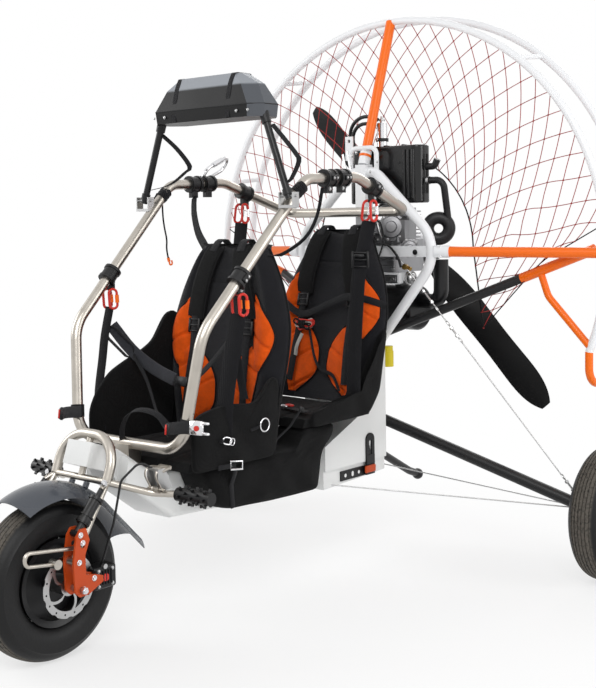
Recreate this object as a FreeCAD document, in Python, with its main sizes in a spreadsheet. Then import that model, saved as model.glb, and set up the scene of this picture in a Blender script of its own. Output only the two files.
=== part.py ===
import FreeCAD, Part
import math
import os
import re
import Sketcher

# Two-seat three-wheeled paramotor trike, millimetres.
# X points to the vehicle's left, Y to the rear, Z up from the ground.
# Stations along Y are measured from the front axle. Every sub-part is then placed
# so that the row's origin lies on the ground under the middle of the length.

doc = FreeCAD.newDocument("MicrolightTrike")
sheet = doc.addObject("Spreadsheet::Sheet", "Sizes")

SIZES = [
    ("front_wheel_radius", 200, "outer radius of the front tyre"),
    ("front_tyre_width", 112, "front tyre across its sidewalls"),
    ("rear_wheel_radius", 200, "outer radius of a rear tyre"),
    ("rear_tyre_width", 100, "rear tyre across its sidewalls"),
    ("rim_radius", 102, "bead seat of every rim"),
    ("rim_width", 70, "rim between its flanges"),
    ("rim_flange", 8, "flange above the bead seat and below it"),
    ("rim_wall", 5, "flange thickness"),
    ("rim_flare", 5.5, "outward lean of the flange"),
    ("rim_web", 16, "web between hub and bead seat"),
    ("bead_gap", 0.3, "between tyre bead and flange"),
    ("hub_radius", 24, "wheel hub"),
    ("front_axle_radius", 8, "front axle bolt"),
    ("rear_axle_radius", 10, "stub axle"),
    ("running_gap", 0.1, "radial clearance of a running fit"),
    ("seat_gap", 0.3, "between pieces that rest on each other"),
    ("rear_track", 1600, "between the middles of the rear tyres"),
    ("wheelbase", 1460, "front axle to rear axle"),
    ("rotor_radius", 79, "brake rotor over its waves"),
    ("rotor_offset", 84, "brake rotor from the middle plane"),
    ("rotor_thickness", 3, "brake rotor"),
    ("rotor_band", 18, "braking band of the rotor"),
    ("rotor_wave", 16, "radius of a scallop in the rotor's rim"),
    ("rotor_wave_depth", 3, "depth of a scallop"),
    ("rotor_spoke", 7, "width of a rotor spoke"),
    ("rotor_spoke_sweep", 34, "radius of a rotor spoke's curve"),
    ("rotor_hole", 2.6, "radius of a hole in the braking band"),
    ("steering_rake", 20, "steering axis from the vertical, degrees"),
    ("head_y", 138, "steering axis at the middle of the keel's nose"),
    ("head_z", 492, "middle of the keel's nose"),
    ("pin_radius", 9, "steering pin"),
    ("pin_below", 58, "steering pin below the middle of the nose"),
    ("pin_above", 63, "steering pin above the middle of the nose"),
    ("nose_height", 62, "keel nose along the steering axis"),
    ("nose_half_width", 46, "keel nose from the middle plane"),
    ("nose_front", 32, "nose ahead of the steering axis, at its underside"),
    ("nose_length", 60, "nose behind the steering axis"),
    ("keel_half_width", 78, "keel shell from the middle plane"),
    ("keel_round", 14, "rounding of the keel shell's edges"),
    ("keel_brow_y", 308, "where the keel's back has dropped"),
    ("keel_back_z", 396, "keel's back under the rear seat"),
    ("keel_belly_y", 360, "deepest point of the keel's front"),
    ("keel_belly_z", 294, "deepest point of the keel's front"),
    ("keel_throat_z", 412, "underside of the nose at its root"),
    ("loop_half_width", 100, "fork loop leg from the middle plane"),
    ("loop_foot_y", 118, "lower end of the fork loop"),
    ("loop_foot_z", 438, "lower end of the fork loop"),
    ("loop_top_z", 543, "crown of the fork loop"),
    ("loop_bend", 80, "bend radius of the fork loop"),
    ("fork_tube", 26, "fork loop tube diameter"),
    ("leg_tube", 18, "lower fork leg diameter"),
    ("arm_y", -8, "swing arm pivot"),
    ("arm_z", 268, "swing arm pivot"),
    ("arm_inner", 95, "inner swing arm plate from the middle plane"),
    ("arm_outer", 130, "outer swing arm plate from the middle plane"),
    ("arm_plate", 6, "swing arm plate thickness"),
    ("arm_width", 30, "swing arm plate across its waist"),
    ("arm_rise", 80, "swing arm plate above its pivot"),
    ("arm_tongue", 76, "swing arm plate behind its pivot"),
    ("arm_boss", 11, "bosses that the swing arm plates turn on"),
    ("arm_hole", 7, "lightening hole in a swing arm plate"),
    ("shock_radius", 15, "shock absorber body"),
    ("shock_rod", 7, "shock absorber rod"),
    ("shock_out", 10, "shock's upper eye outside the loop's foot"),
    ("shock_ahead", 28, "shock's upper eye ahead of the loop's foot"),
    ("shock_under", 14, "shock's upper eye below the loop's foot"),
    ("shock_lift", 66, "shock's lower eye above the swing arm pivot"),
    ("stay_tube", 10, "hairpin stay tube diameter"),
    ("stay_x", 115, "hairpin stay from the middle plane"),
    ("stay_root_y", 12, "where the hairpin stay leaves the leg"),
    ("stay_root_z", 298, "where the hairpin stay leaves the leg"),
    ("stay_front_y", -150, "front bend of the hairpin stay"),
    ("stay_front_z", 318, "front bend of the hairpin stay"),
    ("stay_gap", 32, "between the stay's two runs"),
    ("stay_bend", 15, "bend radius of the hairpin stay"),
    ("stay_end_y", -62, "bush at the end of the hairpin stay"),
    ("stay_end_z", 274, "bush at the end of the hairpin stay"),
    ("stay_bush", 12, "bush at the end of the hairpin stay"),
    ("caliper_inner", 66, "brake caliper's inner face"),
    ("caliper_outer", 112, "brake caliper's outer face"),
    ("caliper_front", 60, "brake caliper behind the axle"),
    ("caliper_length", 72, "brake caliper fore and aft"),
    ("caliper_height", 58, "brake caliper height"),
    ("caliper_z", 204, "middle of the brake caliper"),
    ("caliper_slot", 5, "clearance between rotor and caliper"),
    ("cable_radius", 3, "brake cable"),
    ("peg_inner", 235, "inner end of a foot peg"),
    ("peg_outer", 345, "outer end of a foot peg"),
    ("peg_y", 232, "foot peg"),
    ("peg_z", 405, "foot peg"),
    ("peg_sweep", 8, "foot peg's outer end behind its inner end"),
    ("peg_radius", 17, "foot peg body"),
    ("peg_spike", 6, "width of a spike on a foot peg"),
    ("peg_spike_height", 8, "height of a spike on a foot peg"),
    ("peg_knee_in", 60, "bend of the peg tube inside the peg"),
    ("peg_knee_ahead", 30, "bend of the peg tube ahead of the peg"),
    ("peg_bend", 50, "bend radius of the peg tube"),
    ("pedal_gap", 34, "brake pedal's outer strip inside the peg"),
    ("pedal_width", 34, "between the brake pedal's strips"),
    ("pedal_strip", 5, "thickness of a pedal strip"),
    ("pedal_height", 62, "brake pedal above the peg"),
    ("pedal_base", 12, "pedal's foot above the peg tube"),
    ("fender_radius", 246, "outer face of the mudguard"),
    ("fender_half_width", 74, "mudguard from the middle plane"),
    ("fender_wall", 4, "mudguard thickness"),
    ("fender_crown", 34, "rise of the mudguard's arched section"),
    ("fender_rear_angle", 44, "where the mudguard leaves the wheel's curve, degrees"),
    ("fender_front_angle", 118, "front tip from the rear horizontal, degrees"),
    ("fender_tail", 158, "mudguard's straight run behind the curve"),
    ("fender_post_x", 28, "mudguard post from the middle plane"),
    ("fender_post", 8, "radius of a mudguard post"),
    ("tank_half_width", 120, "tank from the middle plane"),
    ("tank_front_y", 960, "front face of the tank"),
    ("tank_rear_y", 1280, "rear face of the tank"),
    ("tank_base_z", 264, "underside of the tank at its front"),
    ("tank_base_rise", 14, "underside of the tank, rise to the rear"),
    ("tank_ledge_z", 320, "ledge round the tank's foot"),
    ("tank_ledge", 8, "depth of the ledge"),
    ("tank_saddle_y", 1150, "where the tank's top leaves the rear seat pan"),
    ("tank_saddle_z", 478, "top of the tank under the rear seat pan"),
    ("tank_back_y", 1212, "tank's top behind the rear seat back"),
    ("tank_top_z", 680, "top of the tank"),
    ("tank_round", 12, "rounding of the tank's upright edges"),
    ("handle_y", 1182, "tank handle"),
    ("handle_z", 362, "tank handle"),
    ("handle_width", 42, "tank handle"),
    ("handle_height", 92, "tank handle"),
    ("handle_plate", 5, "thickness of the tank handle"),
    ("handle_slot", 7, "radius of the finger slot"),
    ("latch_y", 1040, "front end of the tank's latch plate"),
    ("latch_z", 292, "tank's latch plate"),
    ("latch_height", 30, "tank's latch plate"),
    ("cage_tube", 30, "cage tube diameter"),
    ("cage_foot_x", 204, "lower front corner of the cage"),
    ("cage_foot_y", 280, "lower front corner of the cage"),
    ("cage_foot_z", 502, "lower front corner of the cage"),
    ("cage_knee_x", 247, "forward bend of the cage"),
    ("cage_knee_y", 318, "forward bend of the cage"),
    ("cage_knee_z", 800, "forward bend of the cage"),
    ("cage_brow_x", 266, "upper front bend of the cage"),
    ("cage_brow_y", 712, "upper front bend of the cage"),
    ("cage_brow_z", 1193, "upper front bend of the cage"),
    ("cage_roof_x", 264, "upper rear bend of the cage"),
    ("cage_roof_y", 945, "upper rear bend of the cage"),
    ("cage_roof_z", 1201, "upper rear bend of the cage"),
    ("cage_tail_x", 237, "rear corner of the cage"),
    ("cage_tail_y", 1232, "rear cross tube"),
    ("cage_tail_z", 1102, "rear cross tube"),
    ("cage_foot_bend", 75, "bend radius at the cage's foot"),
    ("cage_knee_bend", 120, "bend radius at the cage's knee"),
    ("cage_brow_bend", 70, "bend radius at the cage's brow"),
    ("cage_roof_bend", 110, "bend radius at the cage's roof"),
    ("cage_tail_bend", 45, "bend radius at the cage's tail"),
    ("cage_bracket_width", 52, "bracket between keel and cage"),
    ("cage_bracket_depth", 44, "bracket between keel and cage"),
    ("cage_bracket_height", 60, "bracket between keel and cage"),
    ("cage_link_width", 44, "link from cage to engine frame"),
    ("cage_link_height", 26, "link from cage to engine frame"),
    ("clamp_radius", 23, "tube clamp"),
    ("clamp_length", 44, "tube clamp"),
    ("clamp_ear", 14, "thickness of a clamp's ear"),
    ("clamp_ear_width", 26, "clamp's ear along the tube"),
    ("clamp_ear_height", 30, "clamp's ear"),
    ("clamp_ear_drop", 4, "middle of the ear below the sleeve"),
    ("strap_width", 26, "webbing strap"),
    ("strap_thickness", 3, "webbing strap"),
    ("strap_drop", 14, "strap's end below the clamp's sleeve"),
    ("strap_foot_x", 176, "strap's lower end from the middle plane"),
    ("strap_foot_ahead", 95, "strap's lower end ahead of the seat back"),
    ("shoulder_x", 78, "shoulder strap at the seat back's top"),
    ("pull_cord", 5, "pull cord diameter"),
    ("pull_shank", 9, "diameter of the pull hook's shank"),
    ("pull_hook", 5, "diameter of the pull hook"),
    ("pull_hook_length", 24, "pull hook below the cord"),
    ("pull_hook_width", 11, "between the hook's two runs"),
    ("pod_pivot_x", 281, "pod rod pivot"),
    ("pod_pivot_y", 622, "pod rod pivot"),
    ("pod_pivot_z", 1146, "pod rod pivot"),
    ("pod_rod_top_x", 202, "pod rod at the pod's underside"),
    ("pod_rod_top_y", 622, "pod rod at the pod's underside"),
    ("pod_rod_top_z", 1362, "pod rod at the pod's underside"),
    ("pod_rod", 20, "pod rod diameter"),
    ("pod_rod_end", 8, "pod rod beyond its pivot"),
    ("pod_rod_socket", 26, "pod rod inside the pod"),
    ("pod_cheek_gap", 12, "between pod rod and bracket cheek"),
    ("pod_cheek", 4, "thickness of a bracket cheek"),
    ("pod_cheek_depth", 24, "bracket cheek fore and aft"),
    ("pod_cheek_rise", 10, "bracket cheek above the pivot"),
    ("pod_cheek_drop", 32, "bracket cheek below the pivot"),
    ("pod_pin", 4, "radius of the pod's hinge pin"),
    ("pod_behind", 16, "pod's middle behind its rods"),
    ("pod_half_width", 212, "pod at its lower rim, from the middle plane"),
    ("pod_top_half_width", 118, "flat top of the pod, from the middle plane"),
    ("pod_half_depth", 62, "pod at its lower rim, from its own middle"),
    ("pod_top_half_depth", 32, "flat top of the pod, from its own middle"),
    ("pod_shoulder_bulge", 12, "pod's shoulder outside a straight slope"),
    ("pod_tuck", 3, "pod's underside inside its rim"),
    ("pod_rim_height", 34, "upright rim of the pod"),
    ("pod_shoulder_height", 92, "pod's shoulder above its underside"),
    ("pod_height", 124, "top of the pod above its underside"),
    ("pod_corner", 34, "chamfered corner of the pod"),
    ("seat_half_width", 225, "seat back at its widest, from the middle plane"),
    ("seat_thickness", 58, "seat back padding"),
    ("front_seat_y", 612, "front seat back where it meets the pan"),
    ("front_pan_z", 470, "front seat pan, upper face"),
    ("front_recline", 8, "front seat back from the vertical, degrees"),
    ("front_top_gap", 68, "front seat back's top below the cage's rear tube"),
    ("rear_seat_y", 1073, "rear seat back where it meets the pan"),
    ("rear_pan_z", 520, "rear seat pan, upper face"),
    ("rear_recline", 13, "rear seat back from the vertical, degrees"),
    ("rear_top_gap", 34, "rear seat back's top below the cage's rear tube"),
    ("pan_half_width", 200, "seat pan from the middle plane"),
    ("pan_length", 315, "seat pan fore and aft"),
    ("pan_behind", 15, "seat pan behind the seat back's face"),
    ("pan_thickness", 34, "seat pan"),
    ("wing_thickness", 14, "side wing of a seat"),
    ("wing_root", 34, "side wing's lower edge below the pan's upper face"),
    ("near_wing_rise", 105, "left front wing above the pan"),
    ("near_wing_crest", 110, "left front wing's crest behind its front edge"),
    ("near_wing_swell", 24, "left front wing's crest above its front edge"),
    ("near_wing_saddle", 235, "left front wing's dip behind its front edge"),
    ("near_wing_dip", 14, "left front wing's dip above its front edge"),
    ("near_wing_turn", 290, "where the left front wing turns up the seat back"),
    ("near_wing_back", 225, "left front wing beside the seat back"),
    ("far_wing_start", 12, "right front wing behind the pan's front edge"),
    ("far_wing_rise", 95, "right front wing above the pan, at its front"),
    ("far_wing_knee", 88, "right front wing's first bend behind the pan's front edge"),
    ("far_wing_bend", 195, "right front wing where it turns up"),
    ("far_wing_slope", 208, "end of the right front wing's gentle slope"),
    ("far_wing_climb", 46, "rise of the right front wing's gentle slope"),
    ("far_wing_back", 352, "right front wing beside the seat back"),
    ("wing_tip", 40, "last step of a front wing up the seat back"),
    ("near_tip_start", 22, "left front wing's upper end behind the seat back's face"),
    ("near_tip_end", 40, "left front wing's upper end behind the seat back's face"),
    ("far_tip_start", 18, "right front wing's upper end behind the seat back's face"),
    ("far_tip_end", 62, "right front wing's upper end behind the seat back's face"),
    ("far_tip_ahead", 12, "right front wing's last bend ahead of the seat back's face"),
    ("rear_wing_start", 17, "rear wing behind the pan's front edge"),
    ("rear_wing_rise", 45, "rear wings above the pan"),
    ("rear_wing_low", 34, "rear wing's front corner below that height"),
    ("rear_wing_dip", 20, "rear wing's middle below that height"),
    ("rear_wing_mid", 157, "rear wing's middle behind the pan's front edge"),
    ("rear_wing_turn", 277, "where the rear wing turns up the seat back"),
    ("rear_wing_back", 230, "rear wings beside the seat back"),
    ("rear_tip_start", 66, "rear wing's upper end behind the seat back's face"),
    ("rear_tip_end", 88, "rear wing's upper end behind the seat back's face"),
    ("rear_tip_drop", 90, "rear wing's front edge below its upper end"),
    ("rear_tip_heel", 130, "rear wing's rear edge below its upper end"),
    ("skirt_outer", 190, "hanging cloth's outer face"),
    ("skirt_front_y", 372, "hanging cloth under the front seat pan"),
    ("skirt_toe_y", 433, "lower front corner of the hanging cloth"),
    ("skirt_toe_z", 320, "lower front corner of the hanging cloth"),
    ("skirt_hem_y", 640, "hanging cloth's hem at its middle"),
    ("skirt_hem_z", 302, "hanging cloth's hem at its middle"),
    ("skirt_heel_y", 845, "lower rear corner of the hanging cloth"),
    ("skirt_heel_z", 298, "lower rear corner of the hanging cloth"),
    ("skirt_tuck", 20, "fold of the hanging cloth at its rear corner"),
    ("skirt_back_y", 920, "hanging cloth under the rear seat pan"),
    ("skirt_back_z", 452, "hanging cloth under the rear seat pan"),
    ("mast_y", 1330, "engine frame plane"),
    ("mast_size", 40, "central mast, square tube"),
    ("mast_base_z", 240, "foot of the central mast"),
    ("mast_top", 24, "mast above the bow's crown"),
    ("frame_tube", 32, "engine frame tube diameter"),
    ("bow_top_z", 1232, "top of the engine frame bow"),
    ("bow_shoulder_x", 48, "where the bow leaves its crown"),
    ("bow_side_x", 303, "corner of the engine frame bow"),
    ("bow_side_z", 985, "corner of the engine frame bow"),
    ("bow_foot_x", 24, "engine frame bow at the mast"),
    ("bow_foot_z", 640, "engine frame bow at the mast"),
    ("bow_foot_length", 30, "bow's last run down the mast"),
    ("bow_crown_bend", 60, "bend radius at the bow's crown"),
    ("bow_side_bend", 120, "bend radius at the bow's side"),
    ("bow_foot_bend", 16, "bend radius at the bow's foot"),
    ("beam_z", 975, "engine frame cross beam"),
    ("beam_height", 34, "engine frame cross beam"),
    ("beam_depth", 20, "engine frame cross beam fore and aft"),
    ("beam_half_length", 300, "engine frame cross beam from the middle plane"),
    ("low_beam_drop", 86, "lower beam below the cross beam"),
    ("low_beam_half_length", 144, "lower beam from the middle plane"),
    ("low_beam_height", 32, "lower beam"),
    ("rail_x", 62, "engine rail from the middle plane"),
    ("rail_width", 24, "engine rail"),
    ("rail_height", 30, "engine rail"),
    ("rail_length", 135, "engine rail behind the mast's plane"),
    ("hoop_half_width", 52, "small hoop over the bow's crown"),
    ("hoop_rise", 78, "small hoop above the bow's crown"),
    ("hoop_bend", 24, "bend radius of the small hoop"),
    ("hoop_tube", 16, "small hoop tube diameter"),
    ("horn_x", 58, "bracket plate beside the spar's foot"),
    ("horn_width", 30, "bracket plate"),
    ("horn_rise", 118, "bracket plate above the bow's crown"),
    ("horn_base", 40, "bracket plate's lower edge above the bow's crown"),
    ("horn_thickness", 5, "bracket plate"),
    ("horn_hole", 6, "hole in the bracket plate"),
    ("socket_wall", 3, "wall of a spar socket"),
    ("socket_length", 46, "spar socket"),
    ("engine_width", 190, "crankcase across"),
    ("engine_depth", 170, "crankcase fore and aft"),
    ("engine_height", 106, "crankcase height"),
    ("engine_round", 16, "rounding of the crankcase"),
    ("engine_gap", 30, "crankcase behind the mast"),
    ("drive_radius", 58, "reduction drive housing"),
    ("shaft_radius", 12, "propeller shaft"),
    ("barrel_x", 74, "cylinder from the middle plane"),
    ("barrel_radius", 42, "cylinder barrel"),
    ("barrel_height", 104, "cylinder barrel and head"),
    ("fin_radius", 58, "cooling fins"),
    ("fin_thickness", 4, "cooling fin"),
    ("fin_pitch", 12, "between cooling fins"),
    ("fin_count", 8, "cooling fins"),
    ("plug_radius", 9, "spark plug cap"),
    ("airbox_x", 46, "middle of the airbox"),
    ("airbox_z", 1222, "middle of the airbox"),
    ("airbox_width", 288, "airbox across"),
    ("airbox_height", 186, "airbox height"),
    ("airbox_depth", 76, "airbox fore and aft"),
    ("airbox_gap", 31, "airbox behind the mast"),
    ("airbox_round", 30, "rounding of the airbox's upright edges"),
    ("airbox_edge", 6, "rounding of the airbox's top and bottom"),
    ("airbox_rib", 4, "ribs down the airbox's left end"),
    ("airbox_post", 9, "radius of a post that carries the airbox"),
    ("canister_x", 18, "silver canister from the middle plane"),
    ("canister_radius", 17, "silver canister"),
    ("canister_height", 78, "silver canister"),
    ("canister_neck", 7, "canister's neck"),
    ("hose_radius", 11, "breather hose"),
    ("duct_radius", 20, "intake duct"),
    ("duct_loop", 34, "radius of the intake duct's loop"),
    ("duct_x", 226, "middle of the intake duct's loop"),
    ("duct_y", 1424, "middle of the intake duct's loop"),
    ("duct_z", 1046, "middle of the intake duct's loop"),
    ("duct_turn", 30, "the loop's turn about the vertical, degrees"),
    ("pipe_radius", 24, "exhaust pipe"),
    ("pipe_y", 1436, "exhaust pipe's upright run"),
    ("pipe_top_z", 946, "top of the exhaust pipe's upright run"),
    ("pipe_bend", 40, "bend radius of the exhaust pipe"),
    ("silencer_radius", 74, "silencer drum"),
    ("silencer_drop", 190, "silencer's axis below the cross beam"),
    ("silencer_y", 1458, "silencer's axis"),
    ("silencer_left", 134, "silencer's left end"),
    ("silencer_right", 116, "silencer's right end"),
    ("silencer_round", 14, "rounding of the silencer's ends"),
    ("ring_y", 1490, "front ring, which carries the net"),
    ("ring_z", 960, "front ring centre"),
    ("ring_radius", 772, "front ring centreline"),
    ("rear_ring_y", 1640, "rear ring"),
    ("rear_ring_z", 972, "rear ring centre"),
    ("rear_ring_radius", 778, "rear ring centreline"),
    ("ring_tube", 24, "ring tube diameter"),
    ("ring_end_drop", 22, "ring ends below the horizontal, degrees"),
    ("ring_spacer", 16, "diameter of a bar between the rings"),
    ("loop_drop", 100, "end loop below the rings' ends"),
    ("loop_round", 52, "bend radius of an end loop"),
    ("net_sheet", 2, "plain sheet that stands for the net"),
    ("net_angle", 7, "where the net's hem meets the ring, degrees"),
    ("net_hem_x", 566, "bend of the net's hem"),
    ("net_hem_z", 944, "bend of the net's hem"),
    ("net_corner_x", 349, "lower corner of the net"),
    ("net_corner_z", 724, "lower corner of the net"),
    ("net_arch_radius", 312, "opening of the net round the engine"),
    ("net_arch_z", 980, "middle of the net's opening"),
    ("spar_tube", 32, "orange spar diameter"),
    ("knuckle_x", 489, "guard's knuckle, where strut and lug meet"),
    ("knuckle_drop", 72, "guard's knuckle below the ring's centre"),
    ("lug_inset", 38, "lug's outer end inside the ring"),
    ("lug_angle", 1.5, "lug's outer end above the ring's centre, degrees"),
    ("guard_x", 580, "bend of the guard tube"),
    ("guard_drop", 126, "bend of the guard tube below the ring's centre"),
    ("guard_bend", 60, "bend radius of the guard tube"),
    ("strut_tube", 30, "black strut diameter"),
    ("strut_foot_drop", 285, "black strut's foot below the cross beam"),
    ("axle_strut_tube", 36, "axle strut diameter"),
    ("axle_strut_rise", 205, "axle strut's root above the mast's foot"),
    ("axle_inset", 22, "axle strut's end inside the rear tyre"),
    ("axle_boss", 22, "boss of the stub axle"),
    ("axle_boss_length", 32, "boss of the stub axle"),
    ("axle_end", 22, "stub axle outside the rim"),
    ("axle_tip", 16, "turned-down tip of the stub axle"),
    ("axle_tip_radius", 8, "turned-down tip of the stub axle"),
    ("stay_wire", 4, "stay wire diameter"),
    ("stay_high_x", 113, "upper stay on the cross beam"),
    ("stay_keel_y", 930, "forward stay on the keel"),
    ("skid_tube", 26, "tail skid diameter"),
    ("skid_rise", 96, "tail skid's root above the mast's foot"),
    ("skid_length", 240, "tail skid behind the mast, to its bend"),
    ("skid_bend_z", 206, "bend of the tail skid"),
    ("skid_bend", 40, "bend radius of the tail skid"),
    ("skid_end", 52, "tail skid behind its bend"),
    ("skid_end_z", 186, "middle of the skid's ball"),
    ("skid_ball", 19, "ball at the tail skid's end"),
    ("propeller_y", 1666, "propeller disc"),
    ("propeller_z", 975, "propeller shaft"),
    ("propeller_radius", 700, "propeller blade tip"),
    ("propeller_angle", 47, "lower blade below the horizontal, degrees"),
    ("propeller_pitch", 900, "advance of the blade's twist in one turn"),
    ("blade_root_chord", 50, "propeller blade where it leaves the hub"),
    ("blade_inner_chord", 84, "propeller blade at a fifth of its radius"),
    ("blade_chord", 98, "propeller blade at its widest"),
    ("blade_outer_chord", 80, "propeller blade where its tip begins to round"),
    ("blade_tip_chord", 34, "propeller blade at its tip"),
    ("blade_root_depth", 22, "propeller blade's thickness at the hub"),
    ("blade_tip_depth", 4, "propeller blade's thickness at its tip"),
    ("hub_disc", 48, "propeller hub radius"),
    ("hub_depth", 40, "propeller hub fore and aft"),
    ("hub_bolt_ring", 30, "bolt circle on the hub's rear face"),
    ("hub_bolt", 6, "radius of a bolt head on the hub"),
    ("shaft_end", 46, "shaft nut behind the propeller disc"),
    ("bottle_x", 112, "yellow bottle"),
    ("bottle_z", 606, "foot of the yellow bottle"),
    ("bottle_radius", 18, "yellow bottle"),
    ("bottle_height", 50, "yellow bottle below its cap"),
    ("cap_height", 16, "bottle's cap"),
]

for row, (alias, number, note) in enumerate(SIZES, start=1):
    sheet.set("A%d" % row, alias)
    sheet.set("B%d" % row, str(number))
    sheet.set("C%d" % row, note)
    sheet.setAlias("B%d" % row, alias)
doc.recompute()

ALIASES = {alias for alias, number, note in SIZES}
NAMES = re.compile(r"[a-z_][a-z_0-9]*")
parts = []


def size(expression):
    """The value of an expression on the sheet's aliases."""
    return float(sheet.evalExpression(expression))


def linked(expression):
    """The same expression as another object of the document reads it."""
    return NAMES.sub(lambda m: "Sizes." + m.group() if m.group() in ALIASES else m.group(), expression)


def bind(item, prop, expression):
    item.setExpression(prop, linked(expression))


def vec(x, y, z):
    return FreeCAD.Vector(x, y, z)


def station(x, y, z):
    """A point whose coordinates are expressions on the sheet."""
    return vec(size(x), size(y), size(z))


# the shaft's nut is the rearmost point and the front tyre the foremost
SETBACK = "(propeller_y + shaft_end - front_wheel_radius) / 2"


def sub_part(item, label, x="0", y="0", z="0"):
    """Names a sub-part and sets it back so that the origin lies under its middle."""
    item.Label = label
    bind(item, "Placement.Base.x", x)
    bind(item, "Placement.Base.y", "%s - %s" % (y, SETBACK))
    bind(item, "Placement.Base.z", z)
    parts.append(item)
    return item


def camel(label):
    return label.title().replace("_", "")


def shaped(label, shape, x="0", y="0", z="0"):
    """A sub-part whose bent tubes and lofts come from Part's own functions."""
    item = doc.addObject("Part::Feature", camel(label))
    item.Shape = shape if shape.ShapeType == "Compound" else Part.makeCompound([shape])
    return sub_part(item, label, x, y, z)


def bare(label):
    """A finished sub-part's shape as it was drawn, before it was set back."""
    doc.recompute()
    shape = doc.getObject(camel(label)).Shape.copy()
    shape.Placement = FreeCAD.Placement()
    return shape


def mirrored(shape):
    return shape.mirror(vec(0, 0, 0), vec(1, 0, 0))


def both_sides(shape):
    return [shape, mirrored(shape)]


def fused(shapes):
    body = shapes[0]
    if len(shapes) > 1:
        body = body.fuse(shapes[1:])
    return body.removeSplitter()


def between(start, end, share):
    return start + (end - start) * share


def rod(start, end, radius):
    return Part.makeCylinder(radius, (end - start).Length, start, end - start)


def bent_tube(points, radii, radius):
    """A round tube along straight runs that tangent arcs join."""
    edges = []
    here = points[0]
    for index, bend in enumerate(radii, start=1):
        corner = points[index]
        back = (points[index - 1] - corner).normalize()
        ahead = (points[index + 1] - corner).normalize()
        half = back.getAngle(ahead) / 2
        tangent = bend / math.tan(half)
        bisector = (back + ahead).normalize()
        middle = corner + bisector * (bend / math.sin(half) - bend)
        start = corner + back * tangent
        end = corner + ahead * tangent
        if (start - here).Length > 1e-6:
            edges.append(Part.LineSegment(here, start).toShape())
        edges.append(Part.Arc(start, middle, end).toShape())
        here = end
    edges.append(Part.LineSegment(here, points[-1]).toShape())
    path = Part.Wire(edges)
    section = Part.Face(Part.Wire([Part.makeCircle(radius, points[0], points[1] - points[0])]))
    return path.makePipe(section)


def block(width, depth, height, centre):
    """A box about its centre."""
    corner = centre - vec(width / 2, depth / 2, height / 2)
    return Part.makeBox(width, depth, height, corner)


def rounded(shape, radius, wanted=lambda edge: True):
    return shape.makeFillet(radius, [edge for edge in shape.Edges if wanted(edge)])


def upright(edge):
    """True for an edge that runs along Z."""
    way = edge.tangentAt(edge.FirstParameter)
    return abs(way.z) > 0.99


def flat(points, depth):
    """A flat outline drawn out along a vector."""
    return Part.Face(Part.makePolygon(points + points[:1])).extrude(depth)


def side_view(corners, x, thickness):
    """A plate from an outline in the side view, given as expressions for Y and Z."""
    points = [vec(x, size(v), size(w)) for v, w in corners]
    return flat(points, vec(thickness, 0, 0))


def origin_plane(body, role):
    return [item for item in body.Origin.OriginFeatures if item.Role == role][0]


def outline(body, name, plane, corners):
    """A closed sketch whose corners are bound to expressions on the sheet."""
    sketch = body.newObject("Sketcher::SketchObject", name)
    sketch.AttachmentSupport = [(origin_plane(body, plane), "")]
    sketch.MapMode = "FlatFace"
    points = [vec(size(u), size(v), 0) for u, v in corners]
    count = len(points)
    for index in range(count):
        sketch.addGeometry(Part.LineSegment(points[index], points[(index + 1) % count]), False)
    for index in range(count):
        sketch.addConstraint(Sketcher.Constraint("Coincident", index, 2, (index + 1) % count, 1))
    for index, (u, v) in enumerate(corners):
        for kind, text, value in (("DistanceX", u, points[index].x), ("DistanceY", v, points[index].y)):
            number = sketch.addConstraint(Sketcher.Constraint(kind, -1, 1, index, 1, value))
            bind(sketch, "Constraints[%d]" % number, text)
    return sketch


def new_body(label):
    return doc.addObject("PartDesign::Body", camel(label))


def pad(body, sketch, length):
    feature = body.newObject("PartDesign::Pad", sketch.Name + "Pad")
    feature.Profile = sketch
    feature.SideType = "Symmetric"
    bind(feature, "Length", length)
    return feature


def turned(body, sketch):
    feature = body.newObject("PartDesign::Revolution", sketch.Name + "Turn")
    feature.Profile = sketch
    feature.ReferenceAxis = (origin_plane(body, "X_Axis"), [""])
    feature.Angle = 360
    return feature


def soften(body, feature, name, radius, wanted):
    """Rounds the edges of a feature that pass a test."""
    doc.recompute()
    picked = ["Edge%d" % n for n, edge in enumerate(feature.Shape.Edges, start=1) if wanted(edge)]
    fillet = body.newObject("PartDesign::Fillet", name)
    fillet.Base = (feature, picked)
    bind(fillet, "Radius", radius)
    return fillet


def tyre(label, radius, width, x, y):
    """A balloon tyre as one ring of rubber, from bead to bead over the tread."""
    body = new_body(label)
    half = "%s / 2" % width
    wall = "(%s - rim_radius)" % radius
    left = [
        ("rim_width / 2 - bead_gap", "rim_radius"),
        (half, "rim_radius + %s * 0.4" % wall),
        ("%s * 0.86" % half, "rim_radius + %s * 0.78" % wall),
        ("%s * 0.36" % half, radius),
    ]
    right = [("-(%s)" % across, out) for across, out in reversed(left)]
    sketch = outline(body, camel(label) + "Section", "XZ_Plane", left + right)
    turned(body, sketch)
    return sub_part(body, label, x, y, radius)


def rim(label, radius, bore, x, y):
    """A pressed rim with flanges, a web and a hub bored for its axle."""
    body = new_body(label)
    well = "rim_width / 2"
    face = "rim_width / 2 + rim_wall"
    left = [
        (well, "rim_radius - bead_gap"),
        (well + " + rim_flare", "rim_radius + rim_flange"),
        (face + " + rim_flare", "rim_radius + rim_flange"),
        (face, "rim_radius - rim_flange"),
        ("rim_web / 2", "rim_radius - rim_flange"),
        ("rim_web / 2", "hub_radius"),
        (face, "hub_radius"),
        (face, bore),
    ]
    right = [("-(%s)" % across, out) for across, out in reversed(left)]
    sketch = outline(body, camel(label) + "Section", "XZ_Plane", left + right)
    turned(body, sketch)
    return sub_part(body, label, x, y, radius)


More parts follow.
